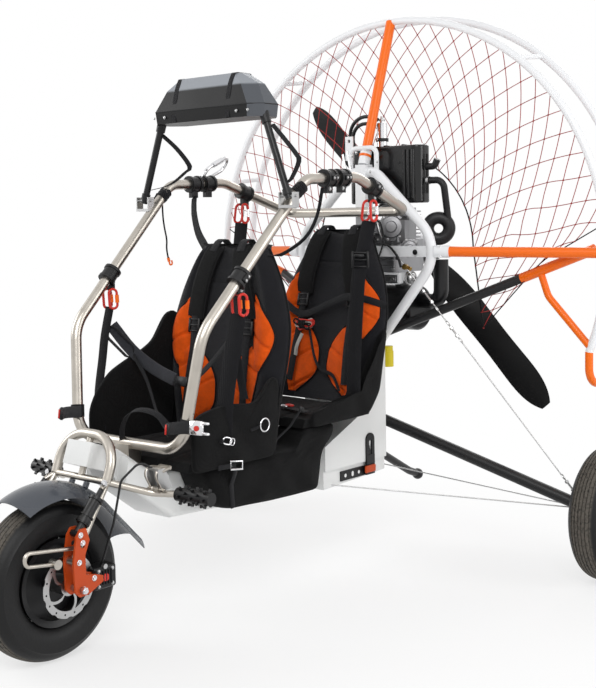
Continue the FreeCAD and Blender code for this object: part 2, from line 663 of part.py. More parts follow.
def wheels():
    tyre("front_tyre", "front_wheel_radius", "front_tyre_width", "0", "0")
    rim("front_rim", "front_wheel_radius", "front_axle_radius + running_gap", "0", "0")
    for side, sign in (("left", ""), ("right", "-")):
        x = sign + "rear_track / 2"
        tyre("rear_tyre_" + side, "rear_wheel_radius", "rear_tyre_width", x, "wheelbase")
        rim("rear_rim_" + side, "rear_wheel_radius", "rear_axle_radius + running_gap", x, "wheelbase")


def around(shape, angle):
    """A copy turned about the X axis."""
    return shape.copy().rotate(vec(0, 0, 0), vec(1, 0, 0), angle)


def brake_rotor():
    """A wave disc: a scalloped braking band with holes, on swept spokes."""
    thick = size("rotor_thickness")
    outer = size("rotor_radius")
    inner = size("rotor_radius - rotor_band")
    across = vec(1, 0, 0)
    start = vec(-thick, 0, 0)
    disc = Part.makeCylinder(outer, thick, vec(0, 0, 0), across)
    scallop_z = size("rotor_radius + rotor_wave - rotor_wave_depth")
    scallop = Part.makeCylinder(size("rotor_wave"), 3 * thick, start + vec(0, 0, scallop_z), across)
    hole = Part.makeCylinder(size("rotor_hole"), 3 * thick, start + vec(0, 0, (inner + outer) / 2), across)
    cuts = [Part.makeCylinder(inner, 3 * thick, start, across)]
    cuts += [around(scallop, 36 * index) for index in range(10)]
    cuts += [around(hole, 24 * index) for index in range(15)]
    band = disc.cut(cuts)
    sweep = size("rotor_spoke_sweep")
    middle = vec(0, sweep, size("hub_radius") * 0.9)
    arc = Part.makeCylinder(sweep + size("rotor_spoke / 2"), thick, middle, across)
    arc = arc.cut(Part.makeCylinder(sweep - size("rotor_spoke / 2"), thick, middle, across))
    reach = Part.makeCylinder(inner + 1, thick, vec(0, 0, 0), across)
    window = Part.makeBox(thick, sweep, 2 * sweep, vec(0, 0, middle.z))
    spoke = arc.common(reach).common(window)
    hub_start = vec(size("rim_width / 2 + rim_wall - rotor_offset"), 0, 0)
    hub = Part.makeCylinder(size("hub_radius"), thick - hub_start.x, hub_start, across)
    shape = fused([band, hub] + [around(spoke, 72 * index) for index in range(5)])
    bore_radius = size("front_axle_radius + running_gap")
    bore = Part.makeCylinder(bore_radius, -3 * hub_start.x, 1.5 * hub_start, across)
    shaped("brake_rotor", shape.cut(bore), "rotor_offset", "0", "front_wheel_radius")


def from_head(along, behind):
    """A point in the middle plane, measured along and across the steering axis."""
    rake = math.radians(size("steering_rake"))
    y = size("head_y") + along * math.sin(rake) + behind * math.cos(rake)
    return vec(0, y, size("head_z") + along * math.cos(rake) - behind * math.sin(rake))


def arm_middle(side):
    return side * size("(arm_inner + arm_plate + arm_outer) / 2")


def plate_gap():
    """Half the clear width between a pair of swing arm plates."""
    return vec(size("(arm_outer - arm_inner - arm_plate) / 2"), 0, 0)


def shock_top(side):
    """The upper eye of a shock absorber, forward of the fork loop's foot."""
    x = side * size("loop_half_width + shock_out")
    return vec(x, size("loop_foot_y - shock_ahead"), size("loop_foot_z - shock_under"))


def shock_foot(side):
    """The lower eye, between the swing arm plates."""
    return vec(arm_middle(side), size("arm_y + stay_bush"), size("arm_z + shock_lift"))


def hairpin_stay(side):
    """The satin tube that runs forward from the leg, turns back and ends in a bush."""
    x = side * size("stay_x")
    points = [
        vec(x, size("stay_root_y"), size("stay_root_z")),
        vec(x, size("stay_front_y"), size("stay_front_z")),
        vec(x, size("stay_front_y"), size("stay_front_z - stay_gap")),
        vec(x, size("stay_end_y"), size("stay_end_z")),
    ]
    tube = bent_tube(points, [size("stay_bend")] * 2, size("stay_tube / 2"))
    across = vec(size("stay_bush"), 0, 0)
    return [tube, rod(points[-1] - across, points[-1] + across, size("stay_bush"))]


def fork_frame():
    foot = station("loop_half_width", "loop_foot_y", "loop_foot_z")
    rise = size("loop_top_z - loop_foot_z")
    crown = foot + vec(0, rise * math.tan(math.radians(size("steering_rake"))), rise)
    path = [foot, crown, vec(-crown.x, crown.y, crown.z), vec(-foot.x, foot.y, foot.z)]
    leg = size("leg_tube / 2")
    pieces = [
        bent_tube(path, [size("loop_bend")] * 2, size("fork_tube / 2")),
        rod(path[0], path[3], leg),
        rod(from_head(-size("pin_below"), 0), from_head(size("pin_above"), 0), size("pin_radius")),
    ]
    for side in (1, -1):
        top = vec(side * foot.x, foot.y, foot.z)
        pivot = vec(arm_middle(side), size("arm_y"), size("arm_z"))
        knee = vec(side * size("peg_inner - peg_knee_in"), size("peg_y - peg_knee_ahead"), size("peg_z"))
        end = vec(side * size("peg_inner"), size("peg_y"), size("peg_z"))
        pieces += [
            rod(top, pivot, leg),
            rod(pivot - plate_gap(), pivot + plate_gap(), size("arm_boss")),
            rod(top, shock_top(side), size("shock_rod")),
            bent_tube([top, knee, end], [size("peg_bend")], leg),
        ]
        pieces += hairpin_stay(side)
    return shaped("fork_frame", fused(pieces))


def foot_pegs():
    """Round pegs with rows of square spikes."""
    pegs = []
    height = size("peg_radius + peg_spike_height")
    for side in (1, -1):
        start = vec(side * size("peg_inner"), size("peg_y"), size("peg_z"))
        end = vec(side * size("peg_outer"), size("peg_y + peg_sweep"), size("peg_z"))
        way = end - start
        body = rod(start, end, size("peg_radius"))
        for row in range(5):
            place = between(start, end, 0.14 + 0.18 * row)
            spike = block(size("peg_spike"), height, size("peg_spike"), place + vec(0, height / 2, 0))
            turns = [60 * turn + 30 * (row % 2) for turn in range(6)]
            body = body.fuse([spike.copy().rotate(place, way, turn) for turn in turns])
        pegs.append(body)
    fork = bare("fork_frame")
    return shaped("foot_pegs", Part.makeCompound([peg.cut(fork) for peg in pegs]))


def brake_pedal():
    """Two bent strips and a tread plate on the left peg tube, over the brake's cylinder."""
    x = size("peg_inner - pedal_gap")
    strip = size("pedal_strip")
    base = "peg_z + pedal_base"
    top = "peg_z + pedal_height"
    side = side_view([
        ("peg_y - 30", base), ("peg_y + 6", base), ("peg_y + 2", "peg_z + pedal_height * 0.55"),
        ("peg_y - 14", top), ("peg_y - 38", top), ("peg_y - 40", "peg_z + pedal_height * 0.7"),
    ], x, strip)
    other = side.copy()
    other.translate(vec(-size("pedal_width"), 0, 0))
    width = size("pedal_width + pedal_strip")
    middle = x + strip - width / 2
    tread = block(width, size("pedal_base * 2"), strip, vec(middle, size("peg_y - 26"), size(top)))
    foot = block(width, size("pedal_base * 2.5"), strip, vec(middle, size("peg_y - 12"), size(base)))
    cylinder = rod(vec(middle, size("peg_y - 8"), size(base)), vec(middle, size("peg_y - 24"), size(top)), 9)
    return shaped("brake_pedal", fused([side, other, tread, foot, cylinder]).cut(bare("fork_frame")))


def front_axle():
    reach = size("arm_outer + arm_plate + front_axle_radius")
    z = size("front_wheel_radius")
    return shaped("front_axle", rod(vec(-reach, 0, z), vec(reach, 0, z), size("front_axle_radius")))


def swing_arm(x, side):
    """One curved plate from the shock's eye over the pivot to the axle and the caliper."""
    axle_z = "front_wheel_radius"
    corners = [
        ("arm_y - arm_width * 0.5", "arm_z"),
        ("arm_y - arm_width * 0.13", "arm_z + arm_rise * 0.8"),
        ("arm_y + arm_width * 0.27", "arm_z + arm_rise"),
        ("arm_y + arm_width * 0.87", "arm_z + arm_rise"),
        ("arm_y + arm_width * 1.2", "arm_z + arm_rise * 0.62"),
        ("arm_y + arm_width * 0.7", "arm_z + arm_width * 0.47"),
        ("arm_y + arm_width * 0.75", axle_z + " + arm_width * 1.13"),
        ("arm_y + arm_tongue * 0.7", axle_z + " + arm_width * 0.93"),
        ("arm_y + arm_tongue", axle_z + " + arm_width * 0.67"),
        ("arm_y + arm_tongue", axle_z + " + arm_width * 0.2"),
        ("arm_y + arm_width", axle_z + " - arm_width * 0.53"),
        ("arm_y + arm_width * 0.07", axle_z + " - arm_width * 0.57"),
        ("arm_y - arm_width * 0.4", axle_z + " - arm_width * 0.13"),
    ]
    plate = side_view(corners, x, side * size("arm_plate"))
    start = vec(x - side * size("arm_plate"), 0, 0)
    across = vec(side, 0, 0)
    thick = size("3 * arm_plate")
    holes = []
    for radius, y, z in (("front_axle_radius", "0", axle_z),
                         ("arm_hole", "arm_y + arm_width * 0.47", "arm_z + arm_rise * 0.5"),
                         ("arm_hole", "arm_y + arm_width * 1.6", axle_z + " + arm_width * 0.6")):
        holes.append(Part.makeCylinder(size(radius), thick, start + station("0", y, z), across))
    return plate.cut(holes)


def swing_arms():
    plates = [swing_arm(side * size(face), side) for side in (1, -1) for face in ("arm_inner", "arm_outer")]
    return shaped("swing_arms", Part.makeCompound(plates))


def shock_absorbers():
    shocks = []
    fork = bare("fork_frame")
    for side in (1, -1):
        low = shock_foot(side)
        top = shock_top(side)
        collar = between(low, top, 0.22)
        neck = between(low, top, 0.78)
        pieces = [
            rod(low, collar, size("shock_rod * 1.3")),
            rod(collar, neck, size("shock_radius")),
            rod(neck, top, size("shock_rod")),
            rod(low - plate_gap(), low + plate_gap(), size("arm_boss * 0.8")),
        ]
        shocks.append(fused(pieces).cut(fork))
    return shaped("shock_absorbers", Part.makeCompound(shocks))


def brake_caliper():
    """The caliper body, slotted for the rotor and carried by the left swing arm's tongue."""
    width = size("caliper_outer - caliper_inner")
    centre = station("(caliper_outer + caliper_inner) / 2", "caliper_front + caliper_length / 2", "caliper_z")
    body = rounded(block(width, size("caliper_length"), size("caliper_height"), centre), size("arm_hole"))
    slot_start = vec(size("rotor_offset - caliper_slot"), 0, size("front_wheel_radius"))
    slot_width = size("rotor_thickness + 2 * caliper_slot")
    slot = Part.makeCylinder(size("rotor_radius + caliper_slot"), slot_width, slot_start, vec(1, 0, 0))
    return shaped("brake_caliper", body.cut(slot).cut(bare("swing_arms")))


def brake_cable():
    """The cable from the pedal's cylinder over the crossbar to the caliper."""
    x = "peg_inner - pedal_gap - pedal_width / 2"
    points = [
        station(x, "peg_y - 24", "peg_z + pedal_height * 0.9"),
        station("peg_inner - 85", "peg_y - 46", "peg_z + pedal_height * 1.3"),
        station("loop_half_width + 30", "loop_foot_y + 20", "loop_foot_z + 4"),
        station("loop_half_width + 26", "loop_foot_y - 4", "loop_foot_z - 100"),
        station("(caliper_outer + caliper_inner) / 2 + 8", "caliper_front + caliper_length / 2",
                "caliper_z + caliper_height / 2"),
    ]
    cable = bent_tube(points, [24, 30, 40], size("cable_radius"))
    held = Part.makeCompound([bare("brake_pedal"), bare("brake_caliper"), bare("fork_frame")])
    return shaped("brake_cable", cable.cut(held))


def fender():
    """The mudguard: an arched section turned part way about the axle, then run out straight."""
    radius = size("fender_radius")
    half = size("fender_half_width")
    wall = size("fender_wall")
    foot = size("fender_radius - fender_crown")
    outer = Part.Arc(vec(half, foot, 0), vec(0, radius, 0), vec(-half, foot, 0)).toShape()
    inner = Part.Arc(vec(wall - half, foot, 0), vec(0, radius - wall, 0), vec(half - wall, foot, 0)).toShape()
    hems = []
    for side in (-1, 1):
        hem = Part.LineSegment(vec(side * half, foot, 0), vec(side * (half - wall), foot, 0))
        hems.append(hem.toShape())
    section = Part.Face(Part.Wire([outer, hems[0], inner, hems[1]]))
    section.rotate(vec(0, 0, 0), vec(1, 0, 0), size("fender_rear_angle"))
    turn = math.radians(size("fender_rear_angle"))
    tail = section.extrude(vec(0, math.sin(turn), -math.cos(turn)) * size("fender_tail"))
    curve = section.revolve(vec(0, 0, 0), vec(1, 0, 0), size("fender_front_angle - fender_rear_angle"))
    shell = fused([curve, tail])
    axle = vec(0, 0, size("front_wheel_radius"))
    shell.translate(axle)
    bar = station("0", "loop_foot_y", "loop_foot_z")
    way = (bar - axle).normalize()
    start = axle + way * (radius - wall)
    end = bar - way * size("leg_tube / 2 + seat_gap")
    posts = []
    for side in (1, -1):
        out = vec(side * size("fender_post_x"), 0, 0)
        posts.append(rod(start + out, end + out, size("fender_post")))
    return shaped("fender", fused([shell] + posts))


def keel():
    """The white shell: a narrow nose bored for the steering pin and a wider body behind it."""
    body = new_body("keel")
    top = "nose_height / 2"
    sine = "sin(steering_rake * 1deg)"
    cosine = "cos(steering_rake * 1deg)"

    def head(along, behind):
        """The expressions of a point measured along and across the steering axis."""
        y = "head_y + (%s) * %s + (%s) * %s" % (along, sine, behind, cosine)
        return y, "head_z + (%s) * %s - (%s) * %s" % (along, cosine, behind, sine)

    roof = [
        head(top, "nose_length"),
        ("keel_brow_y", "keel_back_z + nose_front"),
        ("tank_front_y", "keel_back_z"),
    ]
    floor = [
        ("tank_front_y", "tank_base_z"), ("keel_belly_y + 170", "tank_base_z + 22"),
        ("keel_belly_y", "keel_belly_z"), ("head_y + nose_length", "keel_throat_z"),
    ]
    nose = [head("-" + top, "nose_length"), head("-" + top, "-nose_front"), head(top, "-nose_front")]
    narrow = pad(body, outline(body, "KeelNose", "YZ_Plane", nose + roof + floor), "2 * nose_half_width")
    wide_roof = [head(top + " - keel_round", "nose_length + keel_round")] + roof[1:]
    wide = pad(body, outline(body, "KeelBody", "YZ_Plane", wide_roof + floor), "2 * keel_half_width")
    limit = size("keel_half_width") - 1
    start = size("head_y + nose_length + 2 * keel_round")
    end = size("tank_front_y") - 1
    soften(body, wide, "KeelEdges", "keel_round", lambda edge: abs(edge.CenterOfMass.x) > limit
           and start < edge.CenterOfMass.y < end and abs(edge.Vertexes[0].X) > limit)
    bore = body.newObject("PartDesign::SubtractiveCylinder", "HeadBore")
    bind(bore, "Radius", "pin_radius + running_gap")
    bind(bore, "Height", "nose_height * 3")
    turn = FreeCAD.Rotation(vec(1, 0, 0), -size("steering_rake"))
    bore.Placement = FreeCAD.Placement(from_head(-size("nose_height * 1.5"), 0), turn)
    return sub_part(body, "keel")


def tank():
    """The white tank behind the seats, with a ledge round its foot."""
    body = new_body("tank")
    foot_rear = "tank_base_z + tank_base_rise"
    upper = [
        ("tank_front_y", "tank_ledge_z"), ("tank_front_y", "keel_back_z"), ("tank_saddle_y", "tank_saddle_z"),
        ("tank_back_y", "tank_top_z"), ("tank_rear_y", "tank_top_z"), ("tank_rear_y", "tank_ledge_z"),
    ]
    tall = pad(body, outline(body, "TankSide", "YZ_Plane", upper), "2 * tank_half_width")
    soften(body, tall, "TankEdges", "tank_round",
           lambda edge: upright(edge) and edge.CenterOfMass.y > size("tank_back_y"))
    lower = [
        ("tank_front_y", "tank_base_z"), ("tank_front_y", "tank_ledge_z"),
        ("tank_rear_y - tank_ledge", "tank_ledge_z"), ("tank_rear_y - tank_ledge", foot_rear),
    ]
    pad(body, outline(body, "TankFoot", "YZ_Plane", lower), "2 * (tank_half_width - tank_ledge)")
    return sub_part(body, "tank")


def tank_fittings():
    """The black handle plate and the latch bar on either side of the tank."""
    x = size("tank_half_width")
    thick = size("handle_plate")
    width = size("handle_width")
    straight = size("handle_height - handle_width")
    plate = block(thick, width, straight, vec(x + thick / 2, size("handle_y"), size("handle_z")))
    slots = []
    for end in (1, -1):
        place = vec(x, size("handle_y"), size("handle_z") + end * straight / 2)
        plate = plate.fuse(Part.makeCylinder(width / 2, thick, place, vec(1, 0, 0)))
        slots.append(vec(x - thick, place.y, place.z - end * size("handle_slot")))
    slot = fused([Part.makeCylinder(size("handle_slot"), 3 * thick, place, vec(1, 0, 0)) for place in slots]
                 + [block(3 * thick, size("2 * handle_slot"), (slots[0] - slots[1]).Length,
                          between(slots[0], slots[1], 0.5) + vec(1.5 * thick, 0, 0))])
    foot_x = size("tank_half_width - tank_ledge")
    length = size("handle_y - latch_y")
    bar_y = size("(handle_y + latch_y) / 2")
    bar = block(thick, length, size("latch_height"), vec(foot_x + thick / 2, bar_y, size("latch_z")))
    hook = block(size("tank_ledge") + thick, width, size("latch_height"),
                 vec(foot_x + size("tank_ledge + handle_plate") / 2, size("handle_y"), size("latch_z")))
    fitting = fused([plate.cut(slot), bar, hook])
    return shaped("tank_fittings", Part.makeCompound(both_sides(fitting.cut(bare("tank")))))


def cage():
    """The hoop of bent tube round both seats, one half mirrored to the other."""
    points = [
        station("0", "cage_foot_y", "cage_foot_z"),
        station("cage_foot_x", "cage_foot_y", "cage_foot_z"),
        station("cage_knee_x", "cage_knee_y", "cage_knee_z"),
        station("cage_brow_x", "cage_brow_y", "cage_brow_z"),
        station("cage_roof_x", "cage_roof_y", "cage_roof_z"),
        station("cage_tail_x", "cage_tail_y", "cage_tail_z"),
        station("0", "cage_tail_y", "cage_tail_z"),
    ]
    bends = [size("cage_%s_bend" % name) for name in ("foot", "knee", "brow", "roof", "tail")]
    half = bent_tube(points, bends, size("cage_tube / 2"))
    return shaped("cage", fused(both_sides(half)))


def clamp_places():
    """Where the black tube clamps sit: centre and direction of the tube."""
    knee = station("cage_knee_x", "cage_knee_y", "cage_knee_z")
    brow = station("cage_brow_x", "cage_brow_y", "cage_brow_z")
    roof = station("cage_roof_x", "cage_roof_y", "cage_roof_z")
    tail = station("cage_tail_x", "cage_tail_y", "cage_tail_z")
    return [
        (between(knee, brow, 0.34), brow - knee), (between(brow, roof, 0.42), roof - brow),
        (between(brow, roof, 0.68), roof - brow), (between(roof, tail, 0.3), tail - roof),
    ]


def tube_clamps():
    clamps = []
    length = size("clamp_length")
    for centre, way in clamp_places():
        way.normalize()
        sleeve = Part.makeCylinder(size("clamp_radius"), length, centre - way * (length / 2), way)
        ear_centre = centre - vec(0, 0, size("clamp_radius + clamp_ear_drop"))
        ear = block(size("clamp_ear"), size("clamp_ear_width"), size("clamp_ear_height"), ear_centre)
        bore = Part.makeCylinder(size("cage_tube / 2"), length * 3, centre - way * (length * 1.5), way)
        clamps += both_sides(fused([sleeve, ear]).cut(bore))
    return shaped("tube_clamps", Part.makeCompound(clamps))


def pull_cord():
    """The cord that hangs from the cage's right tube, and the hook on its end."""
    route = [
        vec(-264, 676, 1141), vec(-263, 675, 1103), vec(-262, 680, 1064),
        vec(-261, 689, 1028), vec(-262, 686, 998), vec(-262, 693, 974),
    ]
    radii = []
    for before, corner, after in zip(route, route[1:], route[2:]):
        shorter = min((corner - before).Length, (after - corner).Length)
        turn = (corner - before).getAngle(after - corner)
        radii.append(0.45 * shorter / math.tan(turn / 2))
    print("pull cord radii", [round(radius) for radius in radii])
    cord = bent_tube(route, radii, size("pull_cord / 2"))
    shaped("pull_cord", cord.cut(bare("cage")))
    way = (route[-1] - route[-2]).normalize()
    ahead = vec(0, -way.z, way.y)
    shank = route[-1] + way * size("pull_hook_length / 2")
    low = route[-1] + way * size("pull_hook_length")
    across = ahead * size("pull_hook_width")
    bends = [size("pull_hook")] * 2
    hook = bent_tube([shank, low, low + across, shank + across], bends, size("pull_hook / 2"))
    return shaped("pull_hook", fused([rod(route[-1], shank, size("pull_shank / 2")), hook]))


def cage_brackets():
    """Clevis brackets for the pod rods, on the cage's front tubes."""
    pivot = station("pod_pivot_x", "pod_pivot_y", "pod_pivot_z")
    inner = size("pod_rod / 2 + pod_cheek_gap")
    thick = size("pod_cheek")
    depth = size("pod_cheek_depth")
    height = size("pod_cheek_rise + pod_cheek_drop")
    middle = size("(pod_cheek_rise - pod_cheek_drop) / 2")
    cheeks = []
    for side in (1, -1):
        cheeks.append(block(thick, depth, height, pivot + vec(side * (inner + thick / 2), 0, middle)))
    floor_centre = pivot - vec(0, 0, size("pod_cheek_drop - pod_cheek"))
    floor = block(2 * (inner + thick), depth, thick * 2, floor_centre)
    across = vec(inner + 2 * thick, 0, 0)
    pin = rod(pivot - across, pivot + across, size("pod_pin"))
    bracket = fused(cheeks + [floor, pin])
    return shaped("cage_brackets", Part.makeCompound(both_sides(bracket.cut(bare("cage")))))


def back_height(seat):
    """A seat back's length along its slope, from the clearance under the cage's rear tube."""
    top = "cage_tail_z - cage_tube / 2 - %s_top_gap - %s_pan_z" % (seat, seat)
    return size("(%s) / cos(%s_recline * 1deg)" % (top, seat))


def seat_back_point(seat, across, up, depth=0):
    """A point on a seat back: across, up along its slope, and back from its face."""
    lean = math.radians(size(seat + "_recline"))
    y = size(seat + "_seat_y") + up * math.sin(lean) + depth * math.cos(lean)
    return vec(across, y, size(seat + "_pan_z") + up * math.cos(lean) - depth * math.sin(lean))


def seat(label):
    """A padded seat back and its pan, as the plain forms that the cloth covers."""
    half = size("seat_half_width")
    height = back_height(label)
    profile = [(0.74, 0), (0.86, 0.15), (0.96, 0.35), (1, 0.53), (0.9, 0.74), (0.73, 0.9), (0.5, 1)]
    left = [seat_back_point(label, half * wide, height * up) for wide, up in profile]
    right = [seat_back_point(label, -half * wide, height * up) for wide, up in reversed(profile)]
    back_way = seat_back_point(label, 0, 0, size("seat_thickness")) - seat_back_point(label, 0, 0)
    length = size("pan_length")
    rear = size(label + "_seat_y + pan_behind")
    thick = size("pan_thickness")
    pan_centre = vec(0, rear - length / 2, size(label + "_pan_z") - thick / 2)
    pan = block(size("2 * pan_half_width"), length, thick, pan_centre)
    shaped(label + "_seat_back", flat(left + right, back_way).cut(pan))
    shaped(label + "_seat_pan", pan)


def front_seat_wings():
    """The cloth wings beside the front seat; the right one stands higher, the left one is folded down."""
    front = "front_seat_y + pan_behind - pan_length"
    root = "front_pan_z - wing_root"
    low = "front_pan_z + near_wing_rise"
    near_top = "front_pan_z + near_wing_back"
    near = side_view([
        (front, root),
        (front, low),
        (front + " + near_wing_crest", low + " + near_wing_swell"),
        (front + " + near_wing_saddle", low + " + near_wing_dip"),
        (front + " + near_wing_turn", near_top + " - wing_tip"),
        ("front_seat_y + near_tip_start", near_top),
        ("front_seat_y + near_tip_end", near_top),
        ("front_seat_y + pan_behind", root),
    ], size("pan_half_width"), size("wing_thickness"))
    bend = "front_pan_z + far_wing_bend"
    far_top = "front_pan_z + far_wing_back"
    far = side_view([
        (front + " + far_wing_start", root),
        (front + " + far_wing_start", "front_pan_z + far_wing_rise"),
        (front + " + far_wing_knee", bend),
        (front + " + far_wing_slope", bend + " + far_wing_climb"),
        ("front_seat_y - far_tip_ahead", far_top + " - wing_tip"),
        ("front_seat_y + far_tip_start", far_top),
        ("front_seat_y + far_tip_end", far_top),
        ("front_seat_y + pan_behind", root),
    ], -size("pan_half_width"), -size("wing_thickness"))
    return [near, far]


def rear_seat_wings():
    """The low wings beside the rear seat, which rise along the seat back."""
    front = "rear_seat_y + pan_behind - pan_length"
    root = "rear_pan_z - wing_root"
    low = "rear_pan_z + rear_wing_rise"
    high = "rear_pan_z + rear_wing_back"
    wing = side_view([
        (front + " + rear_wing_start", root),
        (front + " + rear_wing_start", low + " - rear_wing_low"),
        (front + " + rear_wing_mid", low + " - rear_wing_dip"),
        (front + " + rear_wing_turn", low),
        ("rear_seat_y + near_tip_start", low + " + wing_root"),
        ("rear_seat_y + near_tip_end", high + " - rear_tip_drop"),
        ("rear_seat_y + rear_tip_start", high),
        ("rear_seat_y + rear_tip_end", high),
        ("rear_seat_y + near_tip_end + wing_thickness", high + " - rear_tip_heel"),
        ("rear_seat_y + near_tip_end", "rear_pan_z + wing_root"),
        ("rear_seat_y - far_tip_ahead", root),
    ], size("pan_half_width"), size("wing_thickness"))
    return both_sides(wing)


def seat_wings():
    held = Part.makeCompound([bare("front_seat_back"), bare("rear_seat_back"), bare("tank")])
    wings = [wing.cut(held) for wing in front_seat_wings() + rear_seat_wings()]
    return shaped("seat_wings", Part.makeCompound(wings))


def side_cloth():
    """The black cloth bag that hangs from the seat pans on both sides of the keel."""
    inner = size("keel_half_width + seat_gap")
    front_top = "front_pan_z - pan_thickness - seat_gap"
    rear_top = "rear_pan_z - pan_thickness - seat_gap"
    pan_front = "rear_seat_y + pan_behind - pan_length"
    bag = side_view([
        ("skirt_front_y", front_top),
        ("skirt_toe_y", "skirt_toe_z"),
        ("skirt_hem_y", "skirt_hem_z"),
        ("skirt_heel_y", "skirt_heel_z"),
        ("skirt_heel_y + skirt_tuck", "skirt_back_z - 2 * skirt_tuck"),
        ("skirt_back_y", "skirt_back_z"),
        ("skirt_back_y + seat_gap", rear_top),
        (pan_front, rear_top),
        (pan_front + " - skirt_tuck", front_top),
    ], inner, size("skirt_outer") - inner)
    return shaped("side_cloth", Part.makeCompound(both_sides(bag.cut(bare("tank")))))


def strap(start, end):
    """A flat webbing strap with its broad face to the side."""
    length = (end - start).Length
    band = block(size("strap_thickness"), size("strap_width"), length, vec(0, 0, length / 2))
    band.Placement = FreeCAD.Placement(start, FreeCAD.Rotation(vec(0, 0, 1), end - start))
    return band


def harness_straps():
    places = clamp_places()
    drop = vec(0, 0, size("clamp_radius + strap_drop"))
    foot_x = size("strap_foot_x")
    shoulder = size("seat_thickness / 2")
    front_top = seat_back_point("front", size("shoulder_x"), back_height("front") - 2, shoulder)
    rear_top = seat_back_point("rear", size("shoulder_x"), back_height("rear") - 2, shoulder)
    beside = size("pan_half_width + wing_thickness")
    front_foot = vec(beside, size("front_seat_y - strap_foot_ahead"), size("front_pan_z"))
    rear_foot = vec(foot_x, size("rear_seat_y - strap_foot_ahead"), size("rear_pan_z - 1"))
    runs = [(0, front_foot), (1, front_top), (3, rear_top), (3, rear_foot)]
    labels = ("tube_clamps", "front_seat_back", "rear_seat_back", "rear_seat_pan", "seat_wings")
    held = Part.makeCompound([bare(label) for label in labels])
    straps = []
    for place, end in runs:
        straps += [piece.cut(held) for piece in both_sides(strap(places[place][0] - drop, end))]
    return shaped("harness_straps", Part.makeCompound(straps))


def cage_mounts():
    """The bracket between keel and cage, and the link from the cage to the engine frame."""
    front = block(size("cage_bracket_width"), size("cage_bracket_depth"), size("cage_bracket_height"),
                  station("0", "cage_foot_y", "cage_foot_z - cage_bracket_height / 2"))
    depth = size("mast_y - mast_size / 2 - cage_tail_y")
    rear = block(size("cage_link_width"), depth, size("cage_link_height"),
                 station("0", "(cage_tail_y + mast_y - mast_size / 2) / 2", "cage_tail_z"))
    held = Part.makeCompound([bare("cage"), bare("keel")])
    return shaped("cage_mounts", Part.makeCompound([front.cut(held), rear.cut(held)]))


def spar_ends():
    """The upright spar and the left side spar: root, direction and outer end."""
    top = station("0", "ring_y", "ring_z + ring_radius")
    root = station("0", "mast_y", "bow_top_z + mast_top")
    side_root = station("bow_side_x - 28", "mast_y", "beam_z")
    side_end = station("ring_radius", "ring_y", "ring_z + 8")
    return (root, top), (side_root, side_end)


def engine_frame():
    """The white C-shaped bow on its mast, with beams, rails and the sockets of the spars."""
    y = size("mast_y")
    crown_z = size("bow_top_z")
    foot = vec(size("bow_foot_x"), y, size("bow_foot_z"))
    path = [
        vec(0, y, crown_z),
        vec(size("bow_shoulder_x"), y, crown_z),
        vec(size("bow_side_x"), y, size("bow_side_z")),
        foot,
        vec(0, y, foot.z - size("bow_foot_length")),
    ]
    bends = [size("bow_crown_bend"), size("bow_side_bend"), size("bow_foot_bend")]
    bow = bent_tube(path, bends, size("frame_tube / 2"))
    mast_top = size("bow_top_z + mast_top")
    mast_foot = size("mast_base_z")
    mast_centre = vec(0, y, (mast_top + mast_foot) / 2)
    mast = block(size("mast_size"), size("mast_size"), mast_top - mast_foot, mast_centre)
    depth = size("beam_depth")
    low_z = size("beam_z - low_beam_drop")
    beam = block(size("2 * beam_half_length"), depth, size("beam_height"), vec(0, y, size("beam_z")))
    low = block(size("2 * low_beam_half_length"), depth, size("low_beam_height"), vec(0, y, low_z))
    length = size("rail_length")
    rail_y = y + length / 2
    rails = [block(size("rail_width"), length, size("rail_height"), vec(side * size("rail_x"), rail_y, low_z))
             for side in (1, -1)]
    post_end = size("mast_y + airbox_gap + mast_size / 4 - seat_gap")
    posts = [rod(vec(0, y, post_z), vec(0, post_end, post_z), size("airbox_post"))
             for post_z in (size("airbox_z - airbox_height / 3"), size("bow_top_z + mast_top / 2"))]
    arm = size("hoop_half_width")
    hoop_z = crown_z + size("hoop_rise")
    hoop_path = [vec(arm, y, crown_z), vec(arm, y, hoop_z), vec(-arm, y, hoop_z), vec(-arm, y, crown_z)]
    hoop = bent_tube(hoop_path, [size("hoop_bend")] * 2, size("hoop_tube / 2"))
    horn_z = crown_z + size("(horn_base + horn_rise) / 2")
    horn = block(size("horn_width"), size("horn_thickness"), size("horn_rise - horn_base"),
                 vec(-size("horn_x"), y, horn_z))
    hole_z = crown_z + size("horn_rise - horn_width / 2")
    hole = vec(-size("horn_x"), y, hole_z)
    drilling = rod(hole - vec(0, depth, 0), hole + vec(0, depth, 0), size("horn_hole"))
    sockets = []
    for root, end in spar_ends():
        tip = root + (end - root).normalize() * size("socket_length")
        sockets.append(rod(root, tip, size("spar_tube / 2 + socket_wall")))
    sockets.append(mirrored(sockets[1]))
    frame = fused(both_sides(bow) + [mast, beam, low, hoop, horn.cut(drilling)] + rails + posts + sockets)
    for root, end in spar_ends():
        bore = rod(root + (end - root).normalize() * size("mast_top"), end, size("spar_tube / 2"))
        frame = frame.cut(bore).cut(mirrored(bore))
    return shaped("engine_frame", frame)


